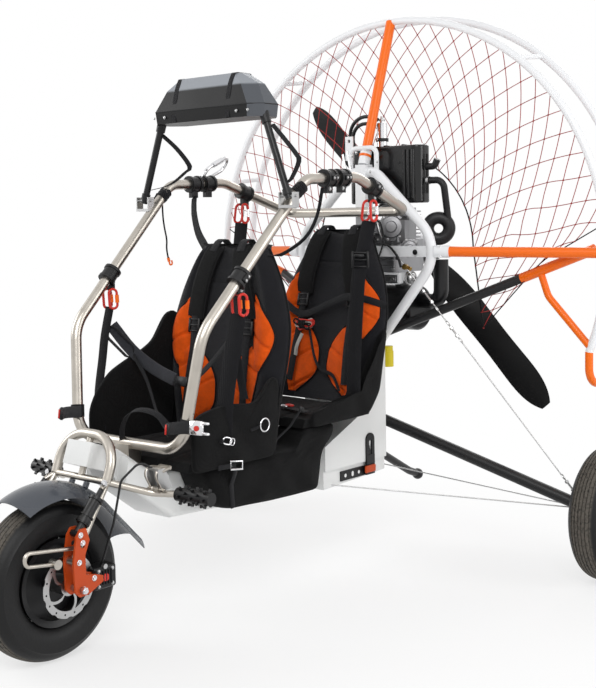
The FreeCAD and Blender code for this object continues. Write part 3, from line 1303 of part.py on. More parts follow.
def engine():
    """Crankcase with reduction drive and shaft, and the finned cylinder beside the mast."""
    base = size("beam_z - low_beam_drop + rail_height / 2 + seat_gap")
    y = size("mast_y + mast_size / 4 + engine_gap + engine_depth / 2")
    top = base + size("engine_height")
    centre = vec(0, y, (base + top) / 2)
    case = block(size("engine_width"), size("engine_depth"), size("engine_height"), centre)
    case = rounded(case, size("engine_round"), upright)
    shaft_z = size("propeller_z")
    drive_end = size("propeller_y - hub_depth / 2 - 8")
    drive = rod(vec(0, y, shaft_z), vec(0, drive_end, shaft_z), size("drive_radius"))
    shaft = rod(vec(0, y, shaft_z), vec(0, size("propeller_y + shaft_end"), shaft_z), size("shaft_radius"))
    shaped("engine_block", fused([case, drive, shaft]))
    foot = vec(size("barrel_x"), y - 10, top)
    up = vec(0, 0, 1)
    barrel = Part.makeCylinder(size("barrel_radius"), size("barrel_height"), foot, up)
    fins = []
    for number in range(int(size("fin_count"))):
        fin_foot = foot + up * size("fin_pitch * %f" % (number + 0.5))
        fins.append(Part.makeCylinder(size("fin_radius"), size("fin_thickness"), fin_foot, up))
    plug = Part.makeCylinder(size("plug_radius"), size("barrel_height + 2 * fin_thickness"), foot, up)
    return shaped("cylinder", fused([barrel, plug] + fins).cut(bare("engine_block")))


def airbox():
    """The black intake silencer: a box with rounded upright edges and ribs on its left end."""
    front = size("mast_y + airbox_gap + mast_size / 4")
    depth = size("airbox_depth")
    width = size("airbox_width")
    height = size("airbox_height")
    centre = vec(size("airbox_x"), front + depth / 2, size("airbox_z"))
    box = rounded(block(width, depth, height, centre), size("airbox_round"), upright)
    box = rounded(box, size("airbox_edge"), lambda edge: not upright(edge))
    end_x = centre.x + width / 2
    inset = size("airbox_round")
    ribs = []
    rib_half = height / 2 - inset
    for y in (front + inset, front + depth - inset):
        rib_foot = vec(end_x, y, centre.z - rib_half)
        ribs.append(rod(rib_foot, rib_foot + vec(0, 0, 2 * rib_half), size("airbox_rib")))
    box_top = centre.z + height / 2
    shaped("airbox", fused([box] + ribs))
    foot = vec(size("canister_x"), front + depth / 2, box_top + size("seat_gap"))
    tall = size("canister_height")
    can = Part.makeCylinder(size("canister_radius"), tall, foot)
    neck = Part.makeCylinder(size("canister_neck"), tall + 2 * size("canister_neck"), foot)
    return shaped("canister", fused([can, neck]))


def intake_duct():
    """The breather hose from the airbox and the looped intake duct that it joins."""
    start = vec(size("airbox_x + airbox_width / 2"), size("duct_y - 16"), size("airbox_z - 22"))
    centre = station("duct_x", "duct_y", "duct_z")
    turn = math.radians(size("duct_turn"))
    facing = vec(math.sin(turn), -math.cos(turn), 0)
    loop = Part.makeTorus(size("duct_loop"), size("duct_radius"), centre, facing)
    out = size("duct_loop")
    across = vec(math.cos(turn), math.sin(turn), 0)
    end = centre + across * out
    bend = vec(end.x, start.y, start.z)
    hose = bent_tube([start, bend, end], [size("hose_radius * 2.4")], size("hose_radius"))
    stub_start = start + vec(0, 0, size("4 * hose_radius"))
    elbow = stub_start + vec(size("3 * hose_radius"), 0, 0)
    stub_end = elbow + vec(size("hose_radius"), 0, size("2 * hose_radius"))
    stub = bent_tube([stub_start, elbow, stub_end], [size("hose_radius * 1.3")], size("hose_radius"))
    pieces = [fused([loop, hose]).cut(bare("airbox")), stub.cut(bare("airbox"))]
    return shaped("intake_duct", Part.makeCompound(pieces))


def exhaust():
    """The silencer drum under the rails and the pipe that rises at its left end."""
    y = size("silencer_y")
    z = size("beam_z - silencer_drop")
    length = size("silencer_left + silencer_right")
    right_end = vec(-size("silencer_right"), y, z)
    drum = Part.makeCylinder(size("silencer_radius"), length, right_end, vec(1, 0, 0))
    drum = rounded(drum, size("silencer_round"), lambda edge: edge.Curve.TypeId == "Part::GeomCircle")
    rail = size("beam_z - low_beam_drop - rail_height / 2 - seat_gap")
    saddle = size("silencer_radius / 2")
    saddle_centre = vec(size("rail_x"), y - saddle / 4, rail - saddle / 2)
    drum = fused([drum] + both_sides(block(size("rail_width"), saddle, saddle, saddle_centre)))
    low = vec(size("silencer_left + seat_gap"), y, z + size("pipe_radius"))
    corner = vec(size("duct_x"), size("pipe_y"), low.z)
    top = vec(size("duct_x"), size("pipe_y"), size("pipe_top_z"))
    pipe = bent_tube([low, corner, top], [size("pipe_bend")], size("pipe_radius"))
    pipe = pipe.cut(Part.makeCompound([drum, bare("intake_duct"), bare("engine_frame")]))
    return shaped("silencer", Part.makeCompound([drum, pipe]))


def ring(radius, y, z, tube):
    """An upper hoop whose ends stop below the horizontal."""
    drop = size("ring_end_drop")
    start = vec(radius * math.cos(math.radians(drop)), y, z - radius * math.sin(math.radians(drop)))
    way = vec(math.sin(math.radians(drop)), 0, math.cos(math.radians(drop)))
    section = Part.Face(Part.Wire([Part.makeCircle(tube, start, way)]))
    return section.revolve(vec(0, y, z), vec(0, -1, 0), 180 + 2 * drop)


def ring_point(prefix, angle):
    """A point on a ring's centreline, by its angle from the left."""
    turn = math.radians(angle)
    radius = size(prefix + "ring_radius")
    centre = station("0", prefix + "ring_y", prefix + "ring_z")
    return centre + vec(radius * math.cos(turn), 0, radius * math.sin(turn))


def rings():
    tube = size("ring_tube / 2")
    room = tube + size("seat_gap")
    kept = []
    for label, prefix in (("front_ring", ""), ("rear_ring", "rear_")):
        place = [size(prefix + name) for name in ("ring_radius", "ring_y", "ring_z")]
        shaped(label, ring(*place, tube))
        kept.append(ring(*place, room))
    bars = []
    for angle in (20, 52, 128, 160):
        bars.append(rod(ring_point("", angle), ring_point("rear_", angle), size("ring_spacer / 2")).cut(kept))
    shaped("ring_spacers", Part.makeCompound(bars))
    start = ring_point("", -size("ring_end_drop"))
    end = ring_point("rear_", -size("ring_end_drop"))
    low = start.z - size("loop_drop")
    loop = bent_tube([start, vec(start.x, start.y, low), vec(end.x, end.y, low), end],
                     [size("loop_round")] * 2, tube)
    loop = loop.cut([bare("front_ring"), bare("rear_ring")])
    return shaped("ring_end_loops", Part.makeCompound(both_sides(loop)))


def propeller_net():
    """The guard net as a plain sheet in the front ring's plane, open round the engine."""
    y = size("ring_y - net_sheet / 2")
    radius = size("ring_radius - ring_tube / 2 - seat_gap")
    turn = math.radians(size("net_angle"))
    start = vec(radius * math.cos(turn), y, size("ring_z") + radius * math.sin(turn))
    crown = vec(0, y, size("ring_z") + radius)
    hem = vec(size("net_hem_x"), y, size("net_hem_z"))
    corner = vec(size("net_corner_x"), y, size("net_corner_z"))
    arch = vec(size("net_arch_radius"), y, size("net_arch_z"))
    keystone = vec(0, y, size("net_arch_z + net_arch_radius"))

    def across(point):
        return vec(-point.x, point.y, point.z)

    runs = [(start, hem), (hem, corner), (corner, arch)]
    edges = []
    for end, top in ((start, crown), (arch, keystone)):
        edges.append(Part.Arc(end, top, across(end)).toShape())
    for first, last in runs:
        edges.append(Part.LineSegment(first, last).toShape())
        edges.append(Part.LineSegment(across(first), across(last)).toShape())
    outline_wire = Part.Wire(Part.sortEdges(edges)[0])
    net = Part.Face(outline_wire).extrude(vec(0, size("net_sheet"), 0))
    net = net.cut([bare("spars"), bare("cage_struts")])
    largest = max(net.Solids, key=lambda solid: solid.Volume)
    return shaped("propeller_net", largest)


def spars():
    """The orange spars from the engine frame's sockets to the front ring, with the guards."""
    tube = size("spar_tube / 2")
    (root, top), (side_root, side_end) = spar_ends()
    start = root + (top - root).normalize() * size("mast_top")
    frame_shape = bare("engine_frame")
    ring_shape = bare("front_ring")
    upright_spar = rod(start, top, tube).cut(frame_shape).cut(ring_shape)
    side = rod(side_root + (side_end - side_root).normalize() * size("mast_top"), side_end, tube)
    knuckle = station("knuckle_x", "ring_y", "ring_z - knuckle_drop")
    turn = math.radians(size("lug_angle"))
    reach = size("ring_radius - lug_inset")
    lug_end = station("0", "ring_y", "ring_z") + vec(reach * math.cos(turn), 0, reach * math.sin(turn))
    lug = rod(knuckle, lug_end, tube)
    guard_end = ring_point("", 1 - size("ring_end_drop"))
    guard_bend = station("guard_x", "ring_y", "ring_z - guard_drop")
    guard = bent_tube([between(knuckle, lug_end, 0.26), guard_bend, guard_end], [size("guard_bend")],
                      size("ring_tube / 2 - 1"))
    arm = fused([side, lug, guard]).cut(ring_shape).cut(frame_shape)
    shaped("spars", Part.makeCompound([upright_spar] + both_sides(arm)))
    foot = station("mast_size / 2", "mast_y", "beam_z - strut_foot_drop")
    strut = rod(foot, knuckle, size("strut_tube / 2")).cut([frame_shape, arm])
    return shaped("cage_struts", Part.makeCompound(both_sides(strut)))


def axle_struts():
    """The black struts from the mast to the rear wheels, each with its stub axle."""
    end = station("rear_track / 2 - rear_tyre_width / 2 - axle_inset", "wheelbase", "rear_wheel_radius")
    start = station("0", "mast_y", "mast_base_z + axle_strut_rise")
    outer = station("rear_track / 2 + rim_width / 2 + axle_end", "wheelbase", "rear_wheel_radius")
    shoulder = outer - vec(size("axle_tip"), 0, 0)
    boss = vec(size("axle_boss_length"), 0, 0)
    strut = fused([
        rod(start, end, size("axle_strut_tube / 2")), rod(end, shoulder, size("rear_axle_radius")),
        rod(end, outer, size("axle_tip_radius")),
        rod(end - boss * 0.7, end + boss * 0.3, size("axle_boss")),
    ])
    return shaped("axle_struts", Part.makeCompound(both_sides(strut.cut(bare("engine_frame")))))


def stay_wires():
    end = station("rear_track / 2 - rear_tyre_width / 2 - axle_inset - 4", "wheelbase", "rear_wheel_radius")
    starts = [
        station("stay_high_x", "mast_y + stay_wire", "beam_z"),
        station("stay_wire * 2", "mast_y + stay_wire", "mast_base_z + mast_size"),
        station("stay_wire * 5", "stay_keel_y", "tank_base_z + mast_size / 2"),
    ]
    held = Part.makeCompound([bare(label) for label in ("engine_frame", "axle_struts", "keel", "tank")])
    wires = []
    for start in starts:
        wires += both_sides(rod(start, end, size("stay_wire / 2")).cut(held))
    return shaped("stay_wires", Part.makeCompound(wires))


def tail_skid():
    """The bent tube behind the mast's foot, with the ball that touches down."""
    start = station("0", "mast_y", "mast_base_z + skid_rise")
    bend = station("0", "mast_y + skid_length", "skid_bend_z")
    tip = station("0", "mast_y + skid_length + skid_end", "skid_end_z")
    tube = bent_tube([start, bend, tip], [size("skid_bend")], size("skid_tube / 2"))
    skid = fused([tube, Part.makeSphere(size("skid_ball"), tip)])
    return shaped("tail_skid", skid.cut(bare("engine_frame")))


def propeller_blade():
    """One blade along Z: six thin sections, twisted for a constant pitch."""
    chords = [
        (0.05, "blade_root_chord"), (0.2, "blade_inner_chord"), (0.45, "blade_chord"),
        (0.75, "blade_chord"), (0.93, "blade_outer_chord"), (1, "blade_tip_chord"),
    ]
    root_depth = size("blade_root_depth")
    taper = size("blade_root_depth - blade_tip_depth")
    sections = []
    for share, chord in chords:
        half = size(chord) / 2
        reach = size("propeller_radius") * share
        twist = math.degrees(math.atan2(size("propeller_pitch"), 2 * math.pi * reach))
        thick = root_depth - taper * share
        upper = Part.Arc(vec(-half, 0, 0), vec(0, thick * 0.7, 0), vec(half, 0, 0)).toShape()
        lower = Part.Arc(vec(half, 0, 0), vec(0, -thick * 0.3, 0), vec(-half, 0, 0)).toShape()
        wire = Part.Wire([upper, lower])
        wire.rotate(vec(0, 0, 0), vec(0, 0, 1), -twist)
        wire.translate(vec(0, 0, reach))
        sections.append(wire)
    return Part.makeLoft(sections, True)


def propeller():
    """Two blades on a bolted hub, bored for the shaft."""
    across = vec(0, 1, 0)
    blade = propeller_blade()
    other = blade.copy().rotate(vec(0, 0, 0), across, 180)
    depth = size("hub_depth")
    face = vec(0, depth / 2, 0)
    hub = Part.makeCylinder(size("hub_disc"), depth, -face, across)
    bolts = []
    for index in range(6):
        place = face + vec(size("hub_bolt_ring"), 0, 0)
        bolt = Part.makeCylinder(size("hub_bolt"), size("hub_bolt"), place, across)
        bolts.append(bolt.rotate(vec(0, 0, 0), across, 60 * index))
    bore = Part.makeCylinder(size("shaft_radius + running_gap"), 3 * depth, -3 * face, across)
    shape = fused([hub, blade, other] + bolts).cut(bore)
    shape.rotate(vec(0, 0, 0), across, 90 + size("propeller_angle"))
    shaped("propeller", shape, "0", "propeller_y", "propeller_z")


def chamfered(half_width, half_depth, corner, centre):
    """A closed rectangle with chamfered corners, level with the ground."""
    corners = [
        (half_width, half_depth - corner), (half_width - corner, half_depth),
        (corner - half_width, half_depth), (-half_width, half_depth - corner),
        (-half_width, corner - half_depth), (corner - half_width, -half_depth),
        (half_width - corner, -half_depth), (half_width, corner - half_depth),
    ]
    points = [centre + vec(x, y, 0) for x, y in corners]
    return Part.makePolygon(points + points[:1])


def pod():
    """The moulded pod over the front seat and the two rods that it folds on."""
    pivot = station("pod_pivot_x", "pod_pivot_y", "pod_pivot_z")
    top = station("pod_rod_top_x", "pod_rod_top_y", "pod_rod_top_z")
    way = (top - pivot).normalize()
    across = vec(size("clamp_length"), 0, 0)
    bar = rod(pivot - way * size("pod_rod_end"), top + way * size("pod_rod_socket"), size("pod_rod / 2"))
    bar = bar.cut(rod(pivot - across, pivot + across, size("pod_pin + running_gap")))
    rods = both_sides(bar)
    shaped("pod_rods", Part.makeCompound(rods))
    floor = vec(0, top.y + size("pod_behind"), top.z)
    rise = vec(0, 0, 1)
    corner = size("pod_corner")
    half = size("pod_half_width")
    deep = size("pod_half_depth")
    top_half = size("pod_top_half_width")
    top_deep = size("pod_top_half_depth")
    tuck = size("pod_tuck")
    bulge = size("pod_shoulder_bulge")
    shoulder = floor + rise * size("pod_shoulder_height")
    levels = [
        chamfered(half - tuck, deep - tuck, corner, floor),
        chamfered(half, deep, corner, floor + rise * size("pod_rim_height")),
        chamfered((half + top_half) / 2 + bulge, (deep + top_deep) / 2, corner, shoulder),
        chamfered(top_half, top_deep, corner / 2, floor + rise * size("pod_height")),
    ]
    shell = Part.makeLoft(levels, True, True)
    return shaped("pod_shell", shell.cut(rods))


def yellow_bottle():
    foot = station("bottle_x", "tank_rear_y + bottle_radius + seat_gap", "bottle_z")
    can = Part.makeCylinder(size("bottle_radius"), size("bottle_height"), foot)
    cap = Part.makeCylinder(size("bottle_radius - 2"), size("bottle_height + cap_height"), foot)
    return shaped("yellow_bottle", fused([can, cap]))


def build_all():
    wheels()
    brake_rotor()
    fork_frame()
    foot_pegs()
    brake_pedal()
    front_axle()
    swing_arms()
    shock_absorbers()
    brake_caliper()
    brake_cable()
    fender()
    keel()
    tank()
    tank_fittings()
    cage()
    tube_clamps()
    pull_cord()
    cage_brackets()
    seat("front")
    seat("rear")
    seat_wings()
    side_cloth()
    harness_straps()
    cage_mounts()
    engine_frame()
    engine()
    airbox()
    intake_duct()
    exhaust()
    rings()
    spars()
    propeller_net()
    axle_struts()
    stay_wires()
    tail_skid()
    propeller()
    pod()
    yellow_bottle()


build_all()
doc.recompute()

for item in doc.Objects:
    if "Invalid" in item.State or "Error" in item.State:
        raise RuntimeError("%s did not build" % item.Label)
for item in parts:
    if item.Shape.isNull() or not item.Shape.isValid():
        raise RuntimeError("%s has a faulty shape" % item.Label)

os.makedirs("parts", exist_ok=True)
for item in parts:
    item.Shape.exportStep("parts/%s.step" % item.Label)
    print(item.Label, len(item.Shape.Solids), round(item.Shape.Volume))
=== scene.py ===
# %% [markdown]
# This lesson dresses a two-seat paramotor trike: a bent steel cage round two harness seats, with a
# hooped propeller guard behind them. The rigid pieces come packed, in metres, with the ground at
# z = 0, +Y to the rear and +X to the machine's left. Blender gives them their finishes, and makes
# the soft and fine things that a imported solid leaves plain: cloth, webbing, net and tyre tread.
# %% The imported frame
import math
import random

import bpy
from mathutils import Matrix, Vector


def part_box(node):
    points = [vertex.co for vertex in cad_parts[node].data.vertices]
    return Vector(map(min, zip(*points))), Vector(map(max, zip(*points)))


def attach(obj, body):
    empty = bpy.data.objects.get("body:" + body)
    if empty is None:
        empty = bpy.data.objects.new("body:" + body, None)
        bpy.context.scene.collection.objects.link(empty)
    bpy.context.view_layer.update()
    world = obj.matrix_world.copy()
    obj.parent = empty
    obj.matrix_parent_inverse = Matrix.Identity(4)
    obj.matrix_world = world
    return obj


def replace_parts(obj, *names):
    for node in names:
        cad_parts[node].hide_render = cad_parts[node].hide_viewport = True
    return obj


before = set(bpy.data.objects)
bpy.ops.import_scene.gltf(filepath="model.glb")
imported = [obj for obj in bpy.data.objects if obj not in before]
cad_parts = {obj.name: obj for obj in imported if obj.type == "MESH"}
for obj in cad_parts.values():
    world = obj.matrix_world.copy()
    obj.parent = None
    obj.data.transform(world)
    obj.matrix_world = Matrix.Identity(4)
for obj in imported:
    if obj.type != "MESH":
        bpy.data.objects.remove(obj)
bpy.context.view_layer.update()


# %% [markdown]
# A maker of such a trike measures from the front axle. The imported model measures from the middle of
# its own box, so one small function turns the first into the second, and every piece below can use
# the maker's numbers.
# %% Places
def corners(node):
    """A node's lowest and highest corner at rest."""
    low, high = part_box(node)
    return Vector(low), Vector(high)


AXLE = sum(corners("front_axle"), Vector()) / 2


def at(x, y, z):
    """A point left of the middle plane, behind the front axle and above the ground, in metres."""
    return Vector((x, y + AXLE.y, z))


def spots(places, side=1):
    """A list of such points; with side -1 they are mirrored to the machine's right."""
    return [at(side * x, y, z) for x, y, z in places]


def linked(name, data):
    """A new object of the scene with that data."""
    item = bpy.data.objects.new(name, data)
    bpy.context.scene.collection.objects.link(item)
    return item


def turns(count):
    """The angles of a full turn in equal steps."""
    return [2 * math.pi * i / count for i in range(count)]


print("front axle at", [round(value, 3) for value in AXLE])


# %% [markdown]
# A finish is a small network of nodes. Wiring it by hand hides the idea, so one class wraps an
# output and lets Python's arithmetic add the Math nodes. Everything that isn't arithmetic, such as
# a noise or a colour mix, comes from its one method, made.
# %% Shader arithmetic
class Tone:
    """One output of a node; arithmetic on it adds Math nodes to the same tree."""

    def __init__(self, tree, socket):
        self.tree = tree
        self.socket = socket

    def made(self, kind, settings=None, sockets=None, output=0):
        """Any other node: its settings first, then the values or links of its sockets."""
        node = self.tree.nodes.new(kind)
        for name, value in (settings or {}).items():
            setattr(node, name, value)
        for name, value in (sockets or {}).items():
            if isinstance(value, Tone):
                self.tree.links.new(value.socket, node.inputs[name])
            else:
                node.inputs[name].default_value = value
        return Tone(self.tree, node.outputs[output])

    def math(self, operation, first, second=0.0):
        return self.made("ShaderNodeMath", {"operation": operation}, {0: first, 1: second})

    def __add__(self, other):
        return self.math("ADD", self, other)

    def __sub__(self, other):
        return self.math("SUBTRACT", self, other)

    def __rsub__(self, other):
        return self.math("SUBTRACT", other, self)

    def __mul__(self, other):
        return self.math("MULTIPLY", self, other)

    __radd__ = __add__
    __rmul__ = __mul__

    def size(self):
        return self.math("ABSOLUTE", self)

    def wave(self, length):
        """From -1 to 1 and back over each length, in metres."""
        return self.math("SINE", self * (2 * math.pi / length))

    def axis(self, index):
        """One coordinate of a place."""
        return self.made("ShaderNodeSeparateXYZ", None, {0: self}, index)

    def noise(self, scale, detail=4.0):
        return self.made("ShaderNodeTexNoise", None, {"Vector": self, "Scale": scale, "Detail": detail})

    def rise(self, low, high):
        """0 below low, 1 above high, smooth between them."""
        return self.made("ShaderNodeMapRange", {"interpolation_type": "SMOOTHSTEP"},
                         {"Value": self, "From Min": low, "From Max": high})

    def mix(self, first, second):
        """first where this is 0 and second where it is 1, for colours."""
        return self.made("ShaderNodeMix", {"data_type": "RGBA"}, {0: self, 6: first, 7: second}, 2)


class Finish:
    """A material in the making; place is the piece's own coordinates."""

    def __init__(self, name):
        self.material = bpy.data.materials.new(name)
        self.material.use_nodes = True
        self.tree = self.material.node_tree
        self.shader = self.tree.nodes["Principled BSDF"]
        start = self.tree.nodes.new("ShaderNodeTexCoord")
        self.place = Tone(self.tree, start.outputs["Object"])

    def set(self, **sockets):
        for name, value in sockets.items():
            socket = self.shader.inputs[name.replace("_", " ")]
            if isinstance(value, Tone):
                self.tree.links.new(value.socket, socket)
            else:
                socket.default_value = value

    def facing(self, index):
        """One coordinate of the surface's own direction."""
        return self.place.made("ShaderNodeNewGeometry", output=1).axis(index)

    def bump(self, height, depth):
        """Relief of that depth in metres."""
        sockets = {"Height": height, "Distance": depth, "Strength": 1.0}
        self.set(Normal=self.place.made("ShaderNodeBump", None, sockets))


def shade(red, green, blue):
    """A colour as the eye reads it on a screen, from 0 to 255, in the shader's linear units."""
    linear = [((c / 255 + 0.055) / 1.055) ** 2.4 if c > 10 else c / 255 / 12.92 for c in (red, green, blue)]
    return (*linear, 1.0)


def dimmed(colour, share):
    """The same colour with a share of its light."""
    return (*(value * share for value in colour[:3]), 1.0)


print("shader helpers ready")


# %% [markdown]
# Bare metal on the trike is of two kinds: the satin steel of the bent tubes, brushed and then
# polished by hands and straps, and the plain steel and cast alloy of small fittings. Each is fully
# metallic; cloudy noise moves the roughness a little, which breaks up the long highlights.
# %% Metal finishes
def metal(name, colour, roughness, grain=0.000006, grain_scale=240.0):
    finish = Finish(name)
    clouds = finish.place.noise(22.0)
    brush = finish.place.noise(grain_scale, 2.0)
    finish.set(Base_Color=clouds.rise(0.25, 0.62).mix(dimmed(colour, 0.88), colour), Metallic=1.0,
               Roughness=clouds * 0.07 + brush * 0.07 + (roughness - 0.07))
    finish.bump(brush, grain)
    return finish.material


SATIN_STEEL = metal("satin_steel_tube", shade(186, 180, 171), 0.31)
PLAIN_STEEL = metal("plain_steel", shade(182, 182, 182), 0.32)
BRIGHT_STEEL = metal("bright_steel", shade(226, 226, 228), 0.16)
CAST_ALLOY = metal("cast_alloy", shade(150, 150, 152), 0.46, 0.0002, 420.0)
BRASS = metal("brass_fitting", shade(196, 160, 88), 0.3)


# %% [markdown]
# Paint and powder coat lie over metal as a smooth skin with a faint orange-peel, and dust settles
# on the sides that face up. A dust mask from the surface's own normal costs two nodes and holds
# from every side. The pod is one grey moulding with light painted into its colour: a pale top is
# painted reflection, and dark slopes in front and behind are painted shade. They are told apart by
# height and by how far the surface faces sideways, because neither changes when the pod folds.
# %% Painted and moulded finishes
POD_SHOULDER = 1.453
POD_BLEND = 0.004
DUST = shade(150, 144, 134)


def pod_painted_reflection_and_shade(finish):
    """A pale top as painted reflection, dark slopes in front and behind as painted shade, and middle grey
    flanks.
    """
    sideways = finish.facing(0).size()
    # Painted light: the pale grey above the shoulder is painted reflection, and the near black on the slopes
    # facing forward and back is painted shade.
    top = finish.place.axis(2).rise(POD_SHOULDER - POD_BLEND, POD_SHOULDER + POD_BLEND)
    slopes = sideways.rise(0.25, 0.45).mix(shade(6, 6, 7), shade(82, 85, 90))
    return top.mix(slopes, shade(146, 150, 156))


def coated(name, colour, roughness, peel=0.00012, peel_scale=160.0, coat=0.0, dust=0.05, gleam=0.35):
    finish = Finish(name)
    peel_noise = finish.place.noise(peel_scale, 2.0)
    clouds = finish.place.noise(9.0)
    dusty = finish.facing(2).rise(0.2, 1.0) * clouds.rise(0.35, 0.7) * dust
    if callable(colour):
        colour = colour(finish)
    finish.set(Base_Color=dusty.mix(colour, DUST), Coat_Weight=coat, Specular_IOR_Level=gleam,
               Roughness=clouds * 0.1 + dusty * 0.6 + (roughness - 0.05))
    finish.bump(peel_noise, peel)
    return finish.material


WHITE_PAINT = coated("white_powder_coat", shade(236, 237, 239), 0.3)
WHITE_SHELL = coated("white_moulded_shell", shade(228, 229, 228), 0.34, 0.0003, 55.0)
ORANGE_PAINT = coated("orange_powder_coat", shade(243, 108, 4), 0.36, coat=0.05)
ARM_ORANGE = coated("orange_anodised_plate", shade(184, 66, 14), 0.42, 0.0001, 500.0)
BLACK_PAINT = coated("satin_black_paint", shade(16, 16, 18), 0.36)
GLOSS_BLACK = coated("gloss_black_lacquer", shade(9, 9, 10), 0.2, coat=0.25, dust=0.01)
BLADE_BLACK = coated("black_blade", shade(11, 11, 12), 0.34, dust=0.0, gleam=0.18)
FENDER_GREY = coated("dark_grey_fender", shade(68, 72, 79), 0.26, coat=0.3)
# The pod's pale top is painted reflection and its dark slopes are painted shade.
POD_GREY_PAINTED_LIGHT = coated("grey_pod_painted_light", pod_painted_reflection_and_shade, 0.40, 0.0001, 120.0, dust=0.0, gleam=0.2)
BLACK_PLASTIC = coated("black_moulded_plastic", shade(15, 15, 17), 0.42, 0.0003, 900.0)
YELLOW_PLASTIC = coated("yellow_plastic", shade(214, 196, 40), 0.35)
RED_PAINT = coated("red_anodised", shade(200, 44, 34), 0.3)


# %% [markdown]
# The cloth is a coarse black nylon, the panels an orange mesh over foam, and the straps woven
# polyester. A weave is two waves that cross; it shows close up, and from a step away only its
# sheen does. Noise darkens each cloth a little in patches.
# %% Cloth finishes
def cloth(name, colour, weave=0.0016, relief=0.00035, sheen=0.08, roughness=0.85):
    finish = Finish(name)
    place = finish.place
    threads = place.axis(0).wave(weave) * place.axis(2).wave(weave) + place.axis(1).wave(weave) * 0.5
    wear = place.noise(26.0)
    folds = place.noise(110.0)
    worn = (wear * 0.7 + folds * 0.3).rise(0.3, 0.68)
    finish.set(Base_Color=worn.mix(dimmed(colour, 0.78), colour), Sheen_Weight=sheen, Sheen_Roughness=0.4,
               Roughness=wear * 0.12 + (roughness - 0.06), Specular_IOR_Level=0.16)
    finish.bump(threads + folds * 1.5, relief)
    return finish.material


BLACK_CLOTH = cloth("black_nylon_cloth", shade(9, 9, 10), sheen=0.04)
# The seat backs are the same black nylon as the rest. Their dark grey base is painted sheen, the light that
# their upper parts catch.
SEAT_NYLON_PAINTED_SHEEN = cloth("black_seat_nylon_painted_sheen", shade(31, 31, 35), sheen=0.12)
ORANGE_CLOTH = cloth("orange_mesh_cloth", shade(240, 92, 14), 0.0024, 0.0004, 0.04, 0.75)
WEBBING = cloth("black_webbing", shade(27, 27, 30), 0.0022, 0.0005, 0.08, 0.72)
GREY_WEBBING = cloth("grey_webbing", shade(58, 59, 64), 0.0022, 0.0005, 0.08, 0.7)
PIPING = cloth("seat_piping", shade(13, 13, 15), 0.001, 0.0002, 0.05, 0.6)
NET_CORD = cloth("red_net_cord", shade(176, 58, 56), 0.001, 0.0002, 0.02, 0.8)
BLACK_CORD = cloth("black_cord", shade(18, 18, 20), 0.001, 0.0002, 0.04, 0.8)
WHITE_CORD = cloth("pale_rope", shade(205, 200, 192), 0.0012, 0.0003, 0.1, 0.8)


# %% [markdown]
# The tyres are soft balloon tyres with grooves all round. Rubber is black on the sidewall, and the
# tread is browner because it has rolled on dry ground, so the finish needs to know which wheel it
# is on: it measures the distance from that wheel's middle plane.
# %% Rubber finish
def rubber(name, middle_x, tread_half):
    finish = Finish(name)
    across = (finish.place.axis(0) - middle_x).size()
    grit = finish.place.noise(140.0)
    worn = (1.0 - across.rise(tread_half * 0.85, tread_half * 1.12)) * grit.rise(0.2, 0.6)
    finish.set(Base_Color=worn.mix(shade(13, 13, 14), shade(92, 87, 80)), Roughness=worn * 0.3 + 0.5,
               Specular_IOR_Level=0.3)
    finish.bump(grit, 0.0006)
    return finish.material


print("materials:", len(bpy.data.materials))


